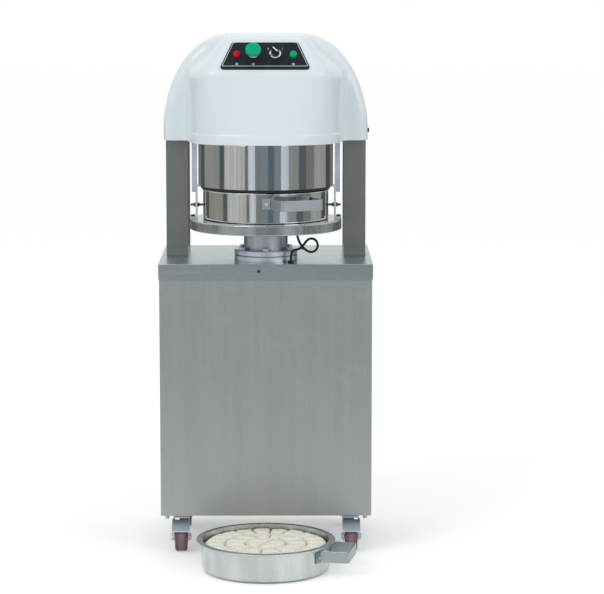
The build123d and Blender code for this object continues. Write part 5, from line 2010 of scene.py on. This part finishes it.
@dataclass
class SensorCable:
    """The limp sensor cable that loops from the platform down to the table.

    Attributes:
        radius: The cable's radius.
        loop: Its places: an X, a Y from the press axis and a drop below the platform.
        end_run: How far above the grommet its last bend lies.
        crossing: The places, by number, on both runs where the loop crosses itself and the tie sits.
        tie_head: How far the tie's head stands out.
        tie_tail: How far its cut tail stands out from the head.
    """

    radius: float = 0.00325
    loop: tuple[Point, ...] = (
        (0.0820, -0.0400, 0.0000),
        (0.0820, -0.0400, 0.0120),
        (0.0860, -0.0440, 0.0270),
        (0.0930, -0.0480, 0.0400),
        (0.1030, -0.0490, 0.0510),
        (0.1155, -0.0475, 0.0585),
        (0.1290, -0.0440, 0.0570),
        (0.1375, -0.0405, 0.0455),
        (0.1355, -0.0375, 0.0315),
        (0.1240, -0.0350, 0.0225),
        (0.1100, -0.0340, 0.0260),
        (0.1000, -0.0345, 0.0400),
        (0.0915, -0.0390, 0.0490),
        (0.0820, -0.0510, 0.0510),
        (0.0740, -0.0630, 0.0510),
        (0.0690, -0.0700, 0.0550),
    )
    end_run: float = 0.013
    crossing: tuple[int, ...] = (3, 4, 11, 12)
    tie_head: float = 0.00195
    tie_tail: float = 0.003575

    def route(self) -> list[Vector]:
        """Places the cable's route.

        Returns:
            The places that draw the cable towards them, from the platform to the grommet.
        """
        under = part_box("platform")[0].z
        grommet = middle("cable_grommet")
        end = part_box("cable_grommet")[1].z
        points = [Vector((x, PRESS_AXIS[1] + y, under - drop)) for x, y, drop in self.loop]
        points.append(Vector((grommet.x, grommet.y, end + self.end_run)))
        points.append(Vector((grommet.x, grommet.y, end)))
        return points

    def add_tie(self, place: Vector, reach: tuple[float, float], ends: list[Point]) -> bpy.types.Object:
        """Adds a narrow tie strap round the cable, with its head and its cut tail.

        Args:
            place: The middle of the strap.
            reach: Half the strap's opening along Y and Z.
            ends: The cable's lower and upper end, between which the tie follows the platform.

        Returns:
            The tie.
        """
        tie = Bench.start(
            "cable_tie",
            bpy.ops.mesh.primitive_cylinder_add,
            vertices=28,
            radius=1.0,
            depth=1.5 * self.radius,
            end_fill_type="NOTHING",
        )
        tie.scale = (*reach, 1.0)
        bpy.ops.object.transform_apply(scale=True)
        Bench.modify(tie, "SOLIDIFY", thickness=0.5 * self.radius, offset=1.0)
        side = max(vertex.co.x for vertex in tie.data.vertices)
        Bench.pick_faces(tie, lambda face: face.normal.x > 0.9 and face.center.x > 0.9 * side)
        for run in (self.tie_head, self.tie_tail):
            Bench.extrude((run, 0.0, 0.0))
        bpy.ops.transform.resize(value=(1.0, 0.45, 0.6))
        bpy.ops.object.mode_set(mode="OBJECT")
        upright = Matrix(((0, 0, 1, 0), (1, 0, 0, 0), (0, 1, 0, 0), (0, 0, 0, 1)))
        Bench.settle(tie, Matrix.Translation(place) @ upright)
        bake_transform(tie, "frame", "lift", start=ends[0], end=ends[1])
        return fit(tie, BLACK_PLASTIC, "frame", "black_plastic")

    def draw_line(self, points: list[Vector]) -> bpy.types.Object:
        """Draws the cable's smooth line, not yet thickened.

        Args:
            points: The places that draw the line towards them.

        Returns:
            The line.
        """
        line = bpy.data.curves.new("sensor_cable_line", "CURVE")
        line.dimensions = "3D"
        line.resolution_u = 8
        spline = line.splines.new("NURBS")
        spline.points.add(len(points) - 1)
        for knot, point in zip(spline.points, points):
            knot.co = (*point, 1.0)
        spline.order_u = 3
        spline.use_endpoint_u = True
        cable = bpy.data.objects.new("sensor_cable_run", line)
        bpy.context.scene.collection.objects.link(cable)
        return cable

    def build(self) -> None:
        """Models the cable on its smooth line and lets it bend as the platform rises."""
        points = self.route()
        cable = self.draw_line(points)
        path = [vertex.co.copy() for vertex in bpy.data.meshes.new_from_object(cable).vertices]
        ends = [tuple(path[-1]), tuple(path[0])]
        cable.data.bevel_depth = self.radius
        cable.data.bevel_resolution = 3
        cable.data.use_fill_caps = True
        Bench.take(cable)
        bpy.ops.object.convert(target="MESH")
        cable = Bench.settle(bpy.context.object, angle=60.0)
        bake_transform(cable, "frame", "lift", start=ends[0], end=ends[1])
        fit(cable, BLACK_RUBBER, "frame", "black_rubber", "sensor_cable")
        crossing = [points[number] for number in self.crossing]
        spread = abs(crossing[0].y - crossing[2].y) / 2
        reach = (spread + 1.3 * self.radius, 1.7 * self.radius)
        tie = self.add_tie(sum(crossing, Vector()) / len(crossing), reach, ends)


def main() -> None:
    """Builds the studio and every sub-assembly."""
    logging.basicConfig(level=logging.INFO)
    bpy.context.scene.view_settings.view_transform = "Standard"
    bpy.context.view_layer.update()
    Studio().build()
    for assembly in (
        SensorCable(),
        Cabinet(),
        HeadFrame(),
        HeadCover(),
        ControlPanel(),
        LiftUnit(),
        PressUnit(),
        Pans(),
        Casters(),
        PowerPack(),
    ):
        assembly.build()
        log.info("finished %s", type(assembly).__name__)


if __name__ == "__main__":
    main()
